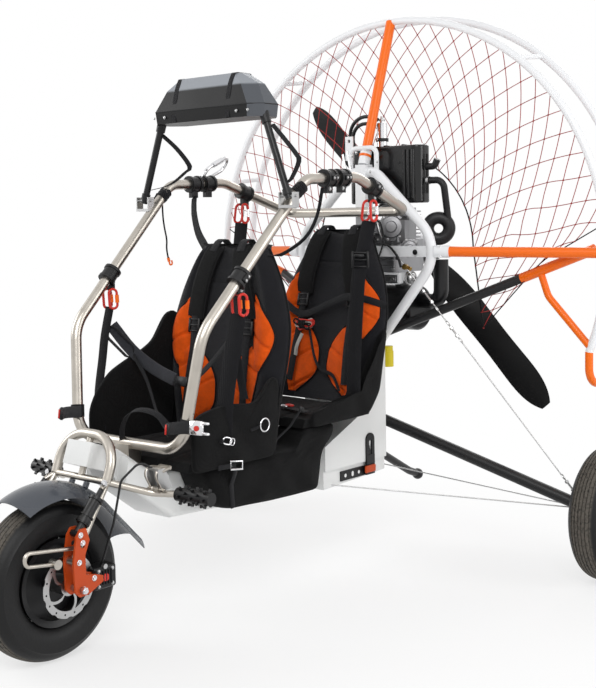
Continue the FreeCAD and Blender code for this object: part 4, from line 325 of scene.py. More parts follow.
# %% [markdown]
# Everything soft or fine is one of three forms: a skin stretched over rows of points, a section
# carried along a line, or a profile turned about an axle. One small class gathers them, so that a
# piece with hundreds of parts, such as the net, is still a single mesh.
# %% Mesh helpers
class Piece:
    """Points and faces gathered for one object; each face keeps the number of its finish."""

    def __init__(self):
        self.points = []
        self.faces = []
        self.finishes = []

    def skin(self, rows, finish=0, ring=False, loop=False, ends=False):
        """Faces between rows of points: ring closes each row, loop joins the last row to the first."""
        first = len(self.points)
        width = len(rows[0])
        for row in rows:
            self.points.extend(row)
        before = len(self.faces)
        for i in range(len(rows) if loop else len(rows) - 1):
            upper = first + (i + 1) % len(rows) * width
            lower = first + i * width
            for j in range(width if ring else width - 1):
                k = (j + 1) % width
                self.faces.append((lower + j, lower + k, upper + k, upper + j))
        if ends:
            self.faces.append(tuple(range(first, first + width)))
            self.faces.append(tuple(range(first + (len(rows) - 1) * width, first + len(rows) * width)))
        self.finishes += [finish] * (len(self.faces) - before)

    def sweep(self, line, section, finish=0, side=None, loop=False):
        """A closed section of (across, out) points carried along a line; side is its across direction."""
        rows = []
        across = None
        for i, point in enumerate(line):
            before = line[i - 1] if i or loop else point
            after = line[(i + 1) % len(line)] if i + 1 < len(line) or loop else point
            along = (after - before).normalized()
            if side is not None:
                across = side
            elif across is None:
                across = along.orthogonal()
            out = along.cross(across).normalized()
            across = out.cross(along).normalized()
            rows.append([point + across * a + out * b for a, b in section])
        self.skin(rows, finish, ring=True, loop=loop, ends=not loop)

    def tube(self, line, radius, finish=0, sides=10, loop=False):
        self.sweep(line, circle(radius, sides), finish, loop=loop)

    def strap(self, line, width, side, finish=0, thickness=0.0022, loop=False):
        """Flat webbing, whose width lies along side."""
        half = width / 2
        thin = thickness / 2
        section = [(-half, 0), (-half + thin, -thin), (half - thin, -thin), (half, 0),
                   (half - thin, thin), (-half + thin, thin)]
        self.sweep(line, section, finish, side, loop)

    def turned(self, profile, centre, axis, finish=0, steps=24, closed=False):
        """A profile of (along, out) points turned about an axis through centre."""
        along = Vector(axis).normalized()
        first = along.orthogonal().normalized()
        second = along.cross(first)
        rows = []
        for turn in turns(steps):
            spoke = first * math.cos(turn) + second * math.sin(turn)
            rows.append([centre + along * a + spoke * r for a, r in profile])
        self.skin(rows, finish, ring=closed, loop=True)

    def slab(self, centre, size, finish=0, across=(1, 0, 0), up=(0, 0, 1), edge=0.15):
        """A block with chamfered edges; edge is a share of its smallest side."""
        across = Vector(across).normalized()
        out = Vector(up).cross(across).normalized()
        up = across.cross(out).normalized()
        half = [value / 2 for value in size]
        cut = min(size) * edge
        rows = []
        for level, inset in ((-half[2], cut), (-half[2] + cut, 0), (half[2] - cut, 0), (half[2], cut)):
            a = half[0] - inset
            b = half[1] - inset
            corner = [(a, b - cut), (a - cut, b), (cut - a, b), (-a, b - cut),
                      (-a, cut - b), (cut - a, -b), (a - cut, -b), (a, cut - b)]
            rows.append([centre + across * x + out * y + up * level for x, y in corner])
        self.skin(rows, finish, ring=True, ends=True)

    def bolt(self, centre, axis, radius, finish=0):
        """A hexagon head on a washer."""
        height = radius * 0.8
        low = height * 0.25
        top = height + low * 0.5
        self.turned([(0, 0), (0, radius * 1.35), (low, radius * 1.35), (low, 0)], centre, axis, finish, 14)
        self.turned([(low, radius), (height, radius), (top, radius * 0.8), (top, 0)], centre, axis, finish, 6)

    def made(self, name, body, slot, *materials, bend=35):
        """The finished object, riding on its body."""
        mesh = bpy.data.meshes.new(name)
        mesh.from_pydata([tuple(point) for point in self.points], [], self.faces)
        for material in materials:
            mesh.materials.append(material)
        mesh.polygons.foreach_set("material_index", self.finishes)
        mesh.validate()
        mesh.update()
        piece = linked(name, mesh)
        bpy.context.view_layer.objects.active = piece
        piece.select_set(True)
        bpy.ops.object.mode_set(mode="EDIT")
        bpy.ops.mesh.select_all(action="SELECT")
        bpy.ops.mesh.normals_make_consistent(inside=False)
        bpy.ops.object.mode_set(mode="OBJECT")
        bpy.ops.object.shade_smooth_by_angle(angle=math.radians(bend))
        piece.select_set(False)
        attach(piece, body)
        print(name, len(mesh.polygons), "faces")
        return piece


def circle(radius, sides=10):
    return [(radius * math.cos(turn), radius * math.sin(turn)) for turn in turns(sides)]


def flowing(points, step=0.012):
    """A smooth line through the points."""
    line = []
    ends = [points[0] * 2 - points[1]] + list(points) + [points[-1] * 2 - points[-2]]
    for before, start, end, after in zip(ends, ends[1:], ends[2:], ends[3:]):
        count = max(2, int((end - start).length / step))
        for i in range(count):
            t = i / count
            line.append((start * 2 + (end - before) * t + (before * 2 - start * 5 + end * 4 - after) * t ** 2
                         + (start * 3 - before - end * 3 + after) * t ** 3) / 2)
    line.append(points[-1])
    return line


def curve(points, share):
    """A smooth value along a list of (share, value) points, without waves between them."""
    share = min(max(share, points[0][0]), points[-1][0])
    slopes = [(b[1] - a[1]) / (b[0] - a[0]) for a, b in zip(points, points[1:])]
    middles = [(a + b) / 2 if a * b > 0 else 0.0 for a, b in zip(slopes, slopes[1:])]
    lean = [slopes[0]] + middles + [slopes[-1]]
    for i, ((low, first), (high, second)) in enumerate(zip(points, points[1:])):
        if share <= high:
            span = high - low
            t = (share - low) / span
            return (first * (1 + 2 * t) * (1 - t) ** 2 + second * t * t * (3 - 2 * t)
                    + span * lean[i] * t * (1 - t) ** 2 - span * lean[i + 1] * t * t * (1 - t))
    return points[-1][1]


print("mesh helpers ready")
# %% [markdown]
# One cord hangs free: a short pull cord from the cage's right tube, with an orange hook. Its curve
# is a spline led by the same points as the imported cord, so that the line is smooth where the
# packed one has runs and arcs.
# %% Pull cord
PULL_THICKNESS = 0.005
PULL_EXIT = (-0.264, 0.676, 1.136)
PULL_ROUTE = [(-0.264, 0.676, 1.141), (-0.263, 0.675, 1.103), (-0.262, 0.680, 1.064),
              (-0.261, 0.689, 1.028), (-0.262, 0.686, 0.998), (-0.262, 0.693, 0.974)]


def pull_cord():
    data = bpy.data.curves.new("pull_cord_line", "CURVE")
    data.dimensions = "3D"
    data.bevel_depth = PULL_THICKNESS / 2
    data.bevel_resolution = 3
    data.use_fill_caps = True
    spline = data.splines.new("NURBS")
    spline.points.add(len(PULL_ROUTE) - 1)
    for point, place in zip(spline.points, PULL_ROUTE):
        point.co = (*at(*place), 1.0)
    spline.order_u = 3
    spline.use_endpoint_u = True
    spline.resolution_u = 12
    data.materials.append(BLACK_CORD)
    cord = linked("pull_cord_line", data)
    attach(cord, "frame")
    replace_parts(cord, "pull_cord")
    tuple(at(*PULL_EXIT))


pull_cord()
print("pull cord hangs from", [round(v, 3) for v in at(*PULL_ROUTE[0])])


# %% [markdown]
# The photograph was taken low and a little to the left of the machine's nose, with a long lens. The
# camera is built from its place, its heading, pitch and roll, and the small shift of a cropped
# picture, so that the render can be laid over the photograph.
# %% Camera
CAMERA_PLACE = at(2.3663, -1.8175, 1.0863)
HEADING = math.radians(41.172)
PITCH = math.radians(-4.124)
ROLL = math.radians(-1.0)

forward = Vector((-math.sin(HEADING) * math.cos(PITCH), math.cos(HEADING) * math.cos(PITCH), math.sin(PITCH)))
level = forward.cross(Vector((0, 0, 1))).normalized()
rightward = level * math.cos(ROLL) + level.cross(forward) * math.sin(ROLL)
upward = rightward.cross(forward)
camera_data = bpy.data.cameras.new("photo_camera")
camera_data.lens = 62.68
camera_data.shift_x = 0.0307
camera_data.shift_y = -0.0568
camera_data.clip_end = 100
camera = linked("photo_camera", camera_data)
camera.matrix_world = Matrix((
    (rightward.x, upward.x, -forward.x, CAMERA_PLACE.x),
    (rightward.y, upward.y, -forward.y, CAMERA_PLACE.y),
    (rightward.z, upward.z, -forward.z, CAMERA_PLACE.z), (0, 0, 0, 1)))
bpy.context.scene.camera = camera
print("camera", [round(value, 3) for value in camera.location])


# %% [markdown]
# A studio cut-out has a white ground and soft light from large boxes. The floor is pale and keeps
# the machine's shadow close to the wheels; farther out it fades into plain white, which only the
# camera, mirrors and glass see, so the white never adds light to the machine.
# %% Floor, lamps and world
def white_seen(tree):
    """1 for rays from the camera and for mirror and glass rays."""
    path = tree.nodes.new("ShaderNodeLightPath")
    rays = sum(Tone(tree, path.outputs["Is %s Ray" % kind]) for kind in ("Camera", "Glossy", "Transmission"))
    return rays.math("MINIMUM", rays, 1.0)


FLOOR_HALF = 14
SHADOW_RADIUS = 0.5
WHITE_RADIUS = 1.9


def floor():
    mesh = bpy.data.meshes.new("floor")
    ends = (-FLOOR_HALF, FLOOR_HALF)
    mesh.from_pydata([(x, y, 0) for y in ends for x in ends], [], [(0, 1, 3, 2)])
    piece = linked("floor", mesh)
    finish = Finish("pale_floor")
    finish.set(Base_Color=shade(250, 250, 250), Roughness=0.9, Specular_IOR_Level=0.1)
    tree = finish.tree
    away = finish.place.made("ShaderNodeVectorMath", {"operation": "LENGTH"}, {0: finish.place}, 1)
    plain = finish.place.made("ShaderNodeEmission", None, {"Color": (1, 1, 1, 1), "Strength": 1.0})
    fade = (away.rise(SHADOW_RADIUS, WHITE_RADIUS) * 0.4 + 0.6) * white_seen(tree)
    blend = finish.place.made("ShaderNodeMixShader", None, {0: fade, 2: plain})
    tree.links.new(finish.shader.outputs[0], blend.socket.node.inputs[1])
    tree.links.new(blend.socket, tree.nodes["Material Output"].inputs["Surface"])
    mesh.materials.append(finish.material)


def softbox(name, place, aim, size, power):
    """A rectangular lamp that faces a point; its power is in watts."""
    lamp = bpy.data.lights.new(name, "AREA")
    lamp.shape = "RECTANGLE"
    lamp.size, lamp.size_y = size
    lamp.energy = power
    box = linked(name, lamp)
    box.location = place
    box.rotation_euler = (Vector(aim) - Vector(place)).to_track_quat("-Z", "Y").to_euler()


def studio():
    softbox("key_box", (2.6, -3.2, 3.6), (0, 0, 0.8), (2.6, 2.0), 105)
    softbox("side_box", (4.2, 1.4, 2.0), (0, 0.2, 0.8), (2.0, 3.0), 55)
    softbox("far_box", (-3.6, -2.0, 2.6), (0, 0, 0.9), (2.0, 2.4), 60)
    softbox("back_box", (-1.2, 4.0, 3.0), (0, 0.4, 0.9), (3.0, 1.6), 50)
    world = bpy.data.worlds.new("white_studio")
    bpy.context.scene.world = world
    world.use_nodes = True
    tree = world.node_tree
    background = tree.nodes["Background"]
    tree.links.new((white_seen(tree) * 0.5 + 0.5).socket, background.inputs["Strength"])
    background.inputs["Color"].default_value = (1, 1, 1, 1)
    bpy.context.scene.view_settings.view_transform = "Standard"


floor()
studio()
print("lamps:", len(bpy.data.lights))


# %% [markdown]
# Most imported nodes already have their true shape, so they only take a finish. One table of finishes
# and node names does the whole job, and shows at a glance what is steel and what is paint.
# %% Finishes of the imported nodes
NODE_FINISHES = {
    SATIN_STEEL: "fork_frame cage cage_mounts",
    PLAIN_STEEL: "front_axle brake_pedal cage_brackets stay_wires brake_rotor",
    BRIGHT_STEEL: "canister",
    CAST_ALLOY: "engine_block cylinder",
    WHITE_PAINT: "engine_frame front_ring rear_ring ring_spacers",
    WHITE_SHELL: "keel tank",
    ORANGE_PAINT: "spars ring_end_loops pull_hook",
    ARM_ORANGE: "swing_arms",
    BLACK_PAINT: "cage_struts axle_struts tail_skid pod_rods silencer foot_pegs shock_absorbers "
                 "brake_caliper front_rim rear_rim_left rear_rim_right",
    BLACK_PLASTIC: "intake_duct tube_clamps tank_fittings brake_cable",
    GLOSS_BLACK: "airbox",
    BLADE_BLACK: "propeller",
    FENDER_GREY: "fender",
    POD_GREY_PAINTED_LIGHT: "pod_shell",
    YELLOW_PLASTIC: "yellow_bottle",
}

for material, nodes in NODE_FINISHES.items():
    for node in nodes.split():
        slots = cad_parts[node].data.materials
        for index in range(len(slots)):
            slots[index] = material
print("nodes that keep their shape:", sum(len(nodes.split()) for nodes in NODE_FINISHES.values()))


# %% [markdown]
# A balloon tyre is a rounded ring with grooves turned into its tread. The rounded part follows a
# superellipse, fuller than a circle, and each groove is four extra points of the profile, so the
# light catches real edges. A thin mould line runs round each sidewall.
# %% Tyres
GROOVE_WIDTH = 0.0034
GROOVE_DEPTH = 0.0035
GROOVES = 6
FULLNESS = 2.35
TREAD_SHARE = 0.62
BEAD_OVERLAP = 0.008


def tyre_profile(half, low, high):
    """Points (across, out) from one bead over the tread to the other."""
    centre = (low + high) / 2
    rise = (high - low) / 2
    tread = half * TREAD_SHARE

    def crown(across):
        return centre + rise * (1 - (abs(across) / half) ** FULLNESS) ** (1 / FULLNESS)

    def wall(turn):
        across = half * abs(math.sin(turn)) ** (2 / FULLNESS)
        out = centre + rise * math.copysign(abs(math.cos(turn)) ** (2 / FULLNESS), math.cos(turn))
        return across, out

    start = math.asin((tread / half) ** (FULLNESS / 2))
    side = [wall(start + (math.radians(146) - start) * i / 14) for i in range(1, 15)]
    mould = side[4]
    side[4:5] = [(mould[0] + 0.0012, mould[1] + 0.003), (mould[0] + 0.0012, mould[1] - 0.001)]
    top = [(-tread, crown(tread))]
    for i in range(GROOVES):
        middle_x = -tread * 0.84 + 1.68 * tread * i / (GROOVES - 1)
        for step, depth in ((-0.5, 0), (-0.32, 1), (0.32, 1), (0.5, 0)):
            x = middle_x + GROOVE_WIDTH * step
            top.append((x, crown(x) - GROOVE_DEPTH * depth))
    top.append((tread, crown(tread)))
    return [(-x, r) for x, r in reversed(side)] + top + side


for body in ("front_wheel", "rear_wheel_left", "rear_wheel_right"):
    node = body.replace("wheel", "tyre")
    low, high = corners(node)
    rim_low, rim_high = corners(body.replace("wheel", "rim"))
    hub = (low + high) / 2
    half = (high.x - low.x) / 2
    profile = tyre_profile(half, (rim_high.z - rim_low.z) / 2 - BEAD_OVERLAP, (high.z - low.z) / 2)
    tyre = Piece()
    tyre.turned(profile, hub, (1, 0, 0), steps=160)
    material = rubber(node + "_rubber", hub.x, half * TREAD_SHARE)
    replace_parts(tyre.made(node + "_tread", body, "tyre", material, bend=28), node)


# %% [markdown]
# Each seat back is a harness: a foam board in black nylon, widest at the elbows, with a rounded
# edge all round and firmer bolsters at the sides. It is one closed skin. Every row of points goes
# round the board once, over the front and back again behind, and small terms push in the seams.
# %% Seat backs
WAIST = {"front": [(0, 0.76), (0.15, 0.87), (0.35, 0.97), (0.53, 1), (0.74, 0.88), (0.9, 0.68), (1, 0.52)],
         "rear": [(0, 0.76), (0.15, 0.85), (0.35, 0.91), (0.46, 0.92), (0.7, 0.81), (0.86, 0.62), (1, 0.46)]}
BOARD_THICKNESS = 0.058
SIDE_FULLNESS = 7
TOP_FULLNESS = 24
SEAM_X = 0.1
SEAM_UP = 0.438
SEAM_DEPTH = 0.004
TOP_DIP = 0.012


def bump(value, middle, width):
    """A smooth hill: 1 at its middle and near 0 two widths away."""
    return math.exp(-((value - middle) / width) ** 2)


def rounding(share, fullness):
    """How far a rounded edge has turned in, as a share of half its thickness."""
    return 1 - math.sqrt(max(0.0, 1 - share ** fullness))


class Seat:
    """The sloping board of a seat; face() gives points on its dressed front."""

    def __init__(self, label, recline):
        low, high = corners(label + "_seat_back")
        foot = corners(label + "_seat_pan")[1].z
        lean = math.radians(recline)
        self.label = label
        self.base = Vector((0, low.y, foot))
        self.up = Vector((0, math.sin(lean), math.cos(lean)))
        self.back = Vector((0, math.cos(lean), -math.sin(lean)))
        self.height = (high.z - foot) / math.cos(lean)
        self.widest = (high.x - low.x) / 2

    def half(self, up):
        return self.widest * curve(WAIST[self.label], min(1, max(0, up / self.height)))

    def depth(self, x, up):
        """How far the front lies behind the flat board's face; less than 0 where it stands proud."""
        share = min(1.0, abs(x) / self.half(up))
        edge = BOARD_THICKNESS / 2 * (rounding(share, SIDE_FULLNESS) + self.crest(up))
        bolster = 0.017 * bump(share, 0.78, 0.13)
        hollow = 0.006 * bump(x, 0, 0.09)
        seams = bump(abs(x), SEAM_X, SEAM_DEPTH) + bump(up, SEAM_UP, SEAM_DEPTH) * (abs(x) < SEAM_X)
        return edge - bolster + hollow + SEAM_DEPTH * seams

    def crest(self, up):
        return rounding(min(1.0, max(0.0, up / self.height)), TOP_FULLNESS)

    def face(self, x, up, proud=0.0):
        return self.place(x, up, self.depth(x, up) - proud)

    def place(self, x, up, behind):
        return self.base + Vector((x, 0, 0)) + self.up * up + self.back * behind

    def board(self, across=63, behind=24, rows=90):
        """The closed skin; its top edge dips a little in the middle."""
        skin = []
        for i in range(rows + 1):
            up = self.height * (1 - (1 - i / rows) ** 1.15)
            half = self.half(up)
            row = []
            for j in range(across + behind):
                front = j <= across
                turn = j / across if front else 1 + (j - across) / behind
                share = -math.cos(math.pi * turn)
                x = half * share
                rear = BOARD_THICKNESS / 2 * (2 - rounding(abs(share), SIDE_FULLNESS) - self.crest(up))
                lower = TOP_DIP * bump(x, 0, 0.045) * (up / self.height) ** 12
                row.append(self.place(x, up, self.depth(x, up) if front else rear) - self.up * lower)
            skin.append(row)
        return skin


FRONT_SEAT = Seat("front", 8)
REAR_SEAT = Seat("rear", 13)


def dress_board(seat):
    shell = Piece()
    shell.skin(seat.board(), 0, ring=True, ends=True)
    for side in (-1, 1):
        levels = [seat.height * i / 40 for i in range(1, 40)]
        edge = [seat.place(side * (seat.half(up) + 0.001), up, BOARD_THICKNESS / 2) for up in levels]
        shell.tube(edge, 0.0035, 1, 6)
    piece = shell.made(seat.label + "_seat_cover", "frame", "seat_cloth", SEAT_NYLON_PAINTED_SHEEN, PIPING, bend=50)
    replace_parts(piece, seat.label + "_seat_back")


for seat in (FRONT_SEAT, REAR_SEAT):
    dress_board(seat)


# %% [markdown]
# On each side of a seat back an orange leaf swells over the bolster, and a second leaf below it
# swells inwards. Both are foam under mesh cloth, quilted with slanting seams and edged with black
# piping. A leaf is a skin between an inner and an outer edge, pillowed across.
# %% Orange leaves
UPPER_OUTER = [(0, 0.118), (0.16, 0.150), (0.36, 0.186), (0.54, 0.200), (0.74, 0.190), (1, 0.158)]
UPPER_INNER = [(0, 0.114), (0.4, 0.116), (1, 0.130)]
LOWER_OUTER = [(0, 0.157), (0.2, 0.160), (0.6, 0.142), (1, 0.118)]
LOWER_INNER = [(0, 0.110), (0.2, 0.052), (0.5, 0.017), (0.75, 0.024), (1, 0.090)]
QUILT_PITCH = 0.092
QUILT_SLOPE = 0.55
LEAF_SWELL = 0.013
QUILT_DEPTH = 0.0065
LEAVES = [(0.412, 0.186, UPPER_OUTER, UPPER_INNER), (0.262, 0.018, LOWER_OUTER, LOWER_INNER)]


def leaf(piece, seat, side, top, bottom, outer, inner):
    """One pillowed panel between two edges given by share from its top."""
    rows = []
    outline = []
    for i in range(61):
        share = i / 60
        up = top + (bottom - top) * share
        near = curve(inner, share)
        far = min(curve(outer, share), seat.half(up) * 0.955)
        row = []
        for j in range(25):
            s = j / 24
            x = near + (far - near) * s
            swell = LEAF_SWELL * max(0.0, math.sin(math.pi * s)) ** 0.6 * min(1.0, 9 * share, 9 - 9 * share)
            line = (up - (0.16 - x) * QUILT_SLOPE) / QUILT_PITCH
            seam = QUILT_DEPTH * bump((line - round(line)) * QUILT_PITCH, 0, 0.0045)
            row.append(seat.face(side * x, up, 0.0012 + swell - min(seam, swell)))
        rows.append(row)
        outline.append((row[0], row[-1]))
    piece.skin(rows, 1)
    for edge in (0, 1):
        piece.tube([pair[edge] - seat.back * 0.001 for pair in outline], 0.0026, 0, 6)


for seat in (FRONT_SEAT, REAR_SEAT):
    piece = Piece()
    for side in (-1, 1):
        for panel in LEAVES:
            leaf(piece, seat, side, *panel)
    made = piece.made(seat.label + "_seat_leaves", "frame", "seat_cloth", PIPING, ORANGE_CLOTH, bend=60)


# %% [markdown]
# Over each seat hang two padded shoulder straps, broad at the top, with a bound edge. Below the
# pad a ladder buckle takes up a narrow strap that runs down to the seat's foot.
# %% Shoulder straps
PAD_FOOT = 0.335


def rounded_bar(width, thickness, sides=16):
    """A flat section with full round ends."""
    return [((width / 2) * math.copysign(abs(math.cos(a)) ** 0.35, math.cos(a)),
             (thickness / 2) * math.copysign(abs(math.sin(a)) ** 0.8, math.sin(a)))
            for a in turns(sides)]


def ladder_buckle(piece, centre, across, up, finish, size=0.034):
    """A black plastic frame with three bars."""
    across = Vector(across).normalized()
    up = Vector(up).normalized()
    for share in (-0.5, 0, 0.5):
        piece.slab(centre + up * size * share, (size * 1.15, 0.006, 0.006), finish, across, up, 0.3)
    for side in (-0.55, 0.55):
        piece.slab(centre + across * size * side, (0.007, 0.008, size * 1.25), finish, across, up, 0.3)


def shoulder_straps(seat, top_x, low_x):
    """A pad from the top of the seat down to a buckle; top_x and low_x are its ends from the middle."""
    piece = Piece()
    across = Vector((1, 0, 0))
    top = seat.height * 0.985
    for side in (-1, 1):
        def spot(share, proud):
            return seat.face(side * (top_x + (low_x - top_x) * share), top + (PAD_FOOT - top) * share, proud)

        shares = (0.02, 0.15, 0.35, 0.6, 0.85, 1)
        pad = flowing([spot(s, 0.012 + 0.012 * math.sin(math.pi * s)) for s in shares], 0.01)
        piece.sweep(pad, rounded_bar(0.064, 0.013), 0, across)
        for edge in (-0.031, 0.031):
            piece.tube([point + across * edge - seat.back * 0.002 for point in pad], 0.0026, 1, 6)
        crest = seat.place(side * top_x, seat.height + 0.012, 0.03)
        over = [spot(0.08, 0.022), spot(0, 0.014) + seat.up * 0.012, crest,
                crest + seat.back * 0.034 - seat.up * 0.03]
        piece.strap(flowing(over), 0.03, across, 2, 0.003)
        clasp = seat.face(side * low_x, 0.312, 0.018)
        ladder_buckle(piece, clasp, across, seat.up, 3)
        tail = [clasp + seat.up * 0.03, clasp]
        for step, up, proud in ((0, 0.25, 0.017), (0.004, 0.16, 0.02), (0.01, 0.05, 0.016)):
            tail.append(seat.face(side * (low_x + step), up, proud))
        piece.strap(flowing(tail), 0.026, across, 2)
    piece.made(seat.label + "_shoulder_straps", "frame", "webbing",
               BLACK_CLOTH, PIPING, WEBBING, BLACK_PLASTIC, bend=50)


shoulder_straps(FRONT_SEAT, 0.05, 0.104)
shoulder_straps(REAR_SEAT, 0.06, 0.100)


# %% [markdown]
# The pans and the cloth round them are cut from the same nylon. A pan is a low cushion that sags a
# little in its middle; the wings beside it are double cloth with thin foam, and stand up by
# themselves. Each is a closed skin whose rim is rounded and whose faces ripple.
# %% Pans, wings and side cloth
def pillow(piece, outline, across, thickness, crown=0.006, ripple=0.003, seed=1):
    """A flat closed outline made into a soft board: across is the direction of its thickness."""
    across = Vector(across).normalized()
    centre = sum(outline, Vector()) / len(outline)
    luck = random.Random(seed)
    phase = [luck.uniform(0, 6.28) for _ in range(3)]

    def soft(point, level, shrink):
        place = point + (centre - point) * shrink
        wave = math.sin(place.y * 31 + phase[0]) * math.sin(place.z * 23 + phase[1])
        wave += 0.6 * math.sin(place.y * 57 + place.z * 41 + phase[2])
        return place + across * (level * (thickness / 2 + (crown + ripple * wave) * min(1.0, shrink * 5)))

    steps = [(0, 0), (0.62, 0.006), (0.92, 0.02)]
    steps += [(1, shrink) for shrink in (0.06, 0.14, 0.3, 0.5, 0.72, 0.9)]
    levels = steps[::-1] + [(-level, shrink) for level, shrink in steps[1:]]
    piece.skin([[soft(point, *step) for point in outline] for step in levels], ring=True, ends=True)


def fine(outline, step=0.012):
    """More points along a closed outline with its corners a little eased."""
    points = []
    for start, end in zip(outline, outline[1:] + outline[:1]):
        parts = max(1, int((end - start).length / step))
        points += [start + (end - start) * (j / parts) for j in range(parts)]
    for _ in range(3):
        neighbours = zip(points[-1:] + points, points, points[1:] + points[:1])
        points = [(before + point * 2 + after) / 4 for before, point, after in neighbours]
    return points


def pan(label, across=40, along=26):
    """A cushion's skin: each row goes over the top and back underneath."""
    low, high = corners(label + "_seat_pan")
    piece = Piece()
    rows = []
    for i in range(along + 1):
        t = i / along
        row = []
        for j in range(2 * across):
            s = (-1 + 2 * j / across) if j <= across else (3 - 2 * j / across)
            swell = 0.012 * (1 - abs(s) ** 4) * (1 - abs(2 * t - 1) ** 4)
            hollow = 0.014 * bump(s, 0, 0.4) * bump(t, 0.6, 0.35)
            seam = 0.004 * bump(abs(s), 0.55, 0.02)
            z = high.z - 0.006 + swell - hollow - seam if j <= across else low.z + 0.001
            x = (low.x + high.x) / 2 + (high.x - low.x) / 2 * s
            row.append(Vector((x, low.y + (high.y - low.y) * t, z)))
        rows.append(row)
    piece.skin(rows, 0, ring=True, ends=True)
    made = piece.made(label + "_pan_cushion", "frame", "seat_cloth", BLACK_CLOTH, bend=40)
    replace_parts(made, label + "_seat_pan")


NEAR_WING = [(0.312, 0.436), (0.312, 0.575), (0.36, 0.592), (0.422, 0.600), (0.49, 0.598), (0.547, 0.589),
             (0.585, 0.612), (0.604, 0.640), (0.630, 0.664), (0.650, 0.652), (0.645, 0.56), (0.627, 0.436)]
FAR_WING = [(0.324, 0.436), (0.324, 0.565), (0.352, 0.615), (0.40, 0.663), (0.46, 0.690), (0.52, 0.712),
            (0.57, 0.738), (0.600, 0.782), (0.630, 0.822), (0.674, 0.820), (0.66, 0.62), (0.627, 0.436)]
REAR_WING = [(0.79, 0.488), (0.79, 0.532), (0.93, 0.545), (1.05, 0.563), (1.095, 0.6), (1.118, 0.66),
             (1.139, 0.75), (1.161, 0.748), (1.131, 0.62), (1.116, 0.556), (1.06, 0.492)]
GUSSET = [(0.211, 0.628, 0.440), (0.212, 0.648, 0.560), (0.211, 0.664, 0.660), (0.200, 0.700, 0.690),
          (0.176, 0.705, 0.600), (0.160, 0.682, 0.470)]
SIDE_BAG = [(0.372, 0.4357), (0.384, 0.405), (0.404, 0.365), (0.433, 0.321), (0.47, 0.312), (0.54, 0.309),
            (0.64, 0.303), (0.74, 0.300), (0.845, 0.299), (0.858, 0.35), (0.866, 0.408), (0.892, 0.432),
            (0.920, 0.452), (0.928, 0.4855), (0.785, 0.4855), (0.762, 0.4357)]
BAG_INSIDE = 0.0785


def upright(piece, x, outline, thickness, seed, step=0.012, **form):
    """A pillow that stands fore and aft at x; its outline is (behind the axle, above the ground)."""
    pillow(piece, fine([at(x, y, z) for y, z in outline], step), (1, 0, 0), thickness, seed=seed, **form)


def wings():
    piece = Piece()
    x = corners("seat_wings")[1].x - 0.007
    upright(piece, x, NEAR_WING, 0.014, 5, crown=0.002)
    upright(piece, -x, FAR_WING, 0.014, 6, crown=0.002)
    for side in (1, -1):
        upright(piece, side * x, REAR_WING, 0.012, 8 + side)
    for side in (1, -1):
        pillow(piece, fine(spots(GUSSET, side)), (side * 0.5, -1, 0.1), 0.010, seed=15 + side)
    made = piece.made("seat_wing_cloth", "frame", "seat_cloth", BLACK_CLOTH, bend=60)
    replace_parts(made, "seat_wings")


def side_bag():
    piece = Piece()
    outside = corners("side_cloth")[1].x
    thick = (outside - BAG_INSIDE) * 0.96
    for side in (1, -1):
        x = side * (BAG_INSIDE + outside) / 2
        upright(piece, x, SIDE_BAG, thick, 11 + side, 0.01, crown=0.011, ripple=0.0045)
    made = piece.made("side_bag_cloth", "frame", "seat_cloth", BLACK_CLOTH, bend=70)
    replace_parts(made, "side_cloth")


pan("front")
pan("rear")
wings()
side_bag()
# %% [markdown]
# The propeller guard's net is knotted cord, stretched between the front hoop and a black cord that
# arches over the engine, with diamonds that grow long towards the lower corners. Both families of
# cords are computed on one strip: a share round the hoop and a share inwards.
# %% Propeller net
NET_MESHES = 30
NET_DEPTH = 5
NET_CORD_RADIUS = 0.0013
KNOT = [(-0.003, 0), (-0.0015, 0.0026), (0.0015, 0.0026), (0.003, 0)]
HOOK = [(-0.004, 0), (-0.003, 0.004), (0.003, 0.004), (0.004, 0)]
HOOP = (0.960, 0.770)
ARCH = (0.980, 0.314)
HEM_ANGLE = 7
HEM = (0.566, 0.944)
CORNER = (0.350, 0.726)
NET_Y = 1.490
NET_SAG = 0.008


def along_runs(points, share):
    """A place on straight runs, by its share of their whole length."""
    lengths = [(b - a).length for a, b in zip(points, points[1:])]
    left = share * sum(lengths)
    for start, end, length in zip(points, points[1:], lengths):
        if left <= length:
            return start.lerp(end, left / length)
        left -= length
    return points[-1]


def on_circle(circle, turn):
    """A place on an upright circle, given as its height and its radius."""
    return Vector((math.cos(turn) * circle[1], 0, circle[0] + math.sin(turn) * circle[1]))


def net_place(around, inward):
    """A place in the net: around from left to right over the top, inward from the hoop."""
    angle = math.radians(HEM_ANGLE)
    outer = on_circle(HOOP, angle + (math.pi - 2 * angle) * around)
    arch = [on_circle(ARCH, math.pi * i / 24) for i in range(25)]
    left, right = (Vector((side * CORNER[0], 0, CORNER[1])) for side in (1, -1))
    inner = along_runs([left] + arch + [right], around)
    place = outer.lerp(inner, inward)
    edge = max(0.0, 1 - 9 * min(around, 1 - around))
    side = 1 if around < 0.5 else -1
    hem = along_runs([outer, Vector((side * HEM[0], 0, HEM[1])), inner], inward)
    place = place.lerp(hem, edge)
    return at(place.x, NET_Y - NET_SAG * math.sin(math.pi * inward), place.z)


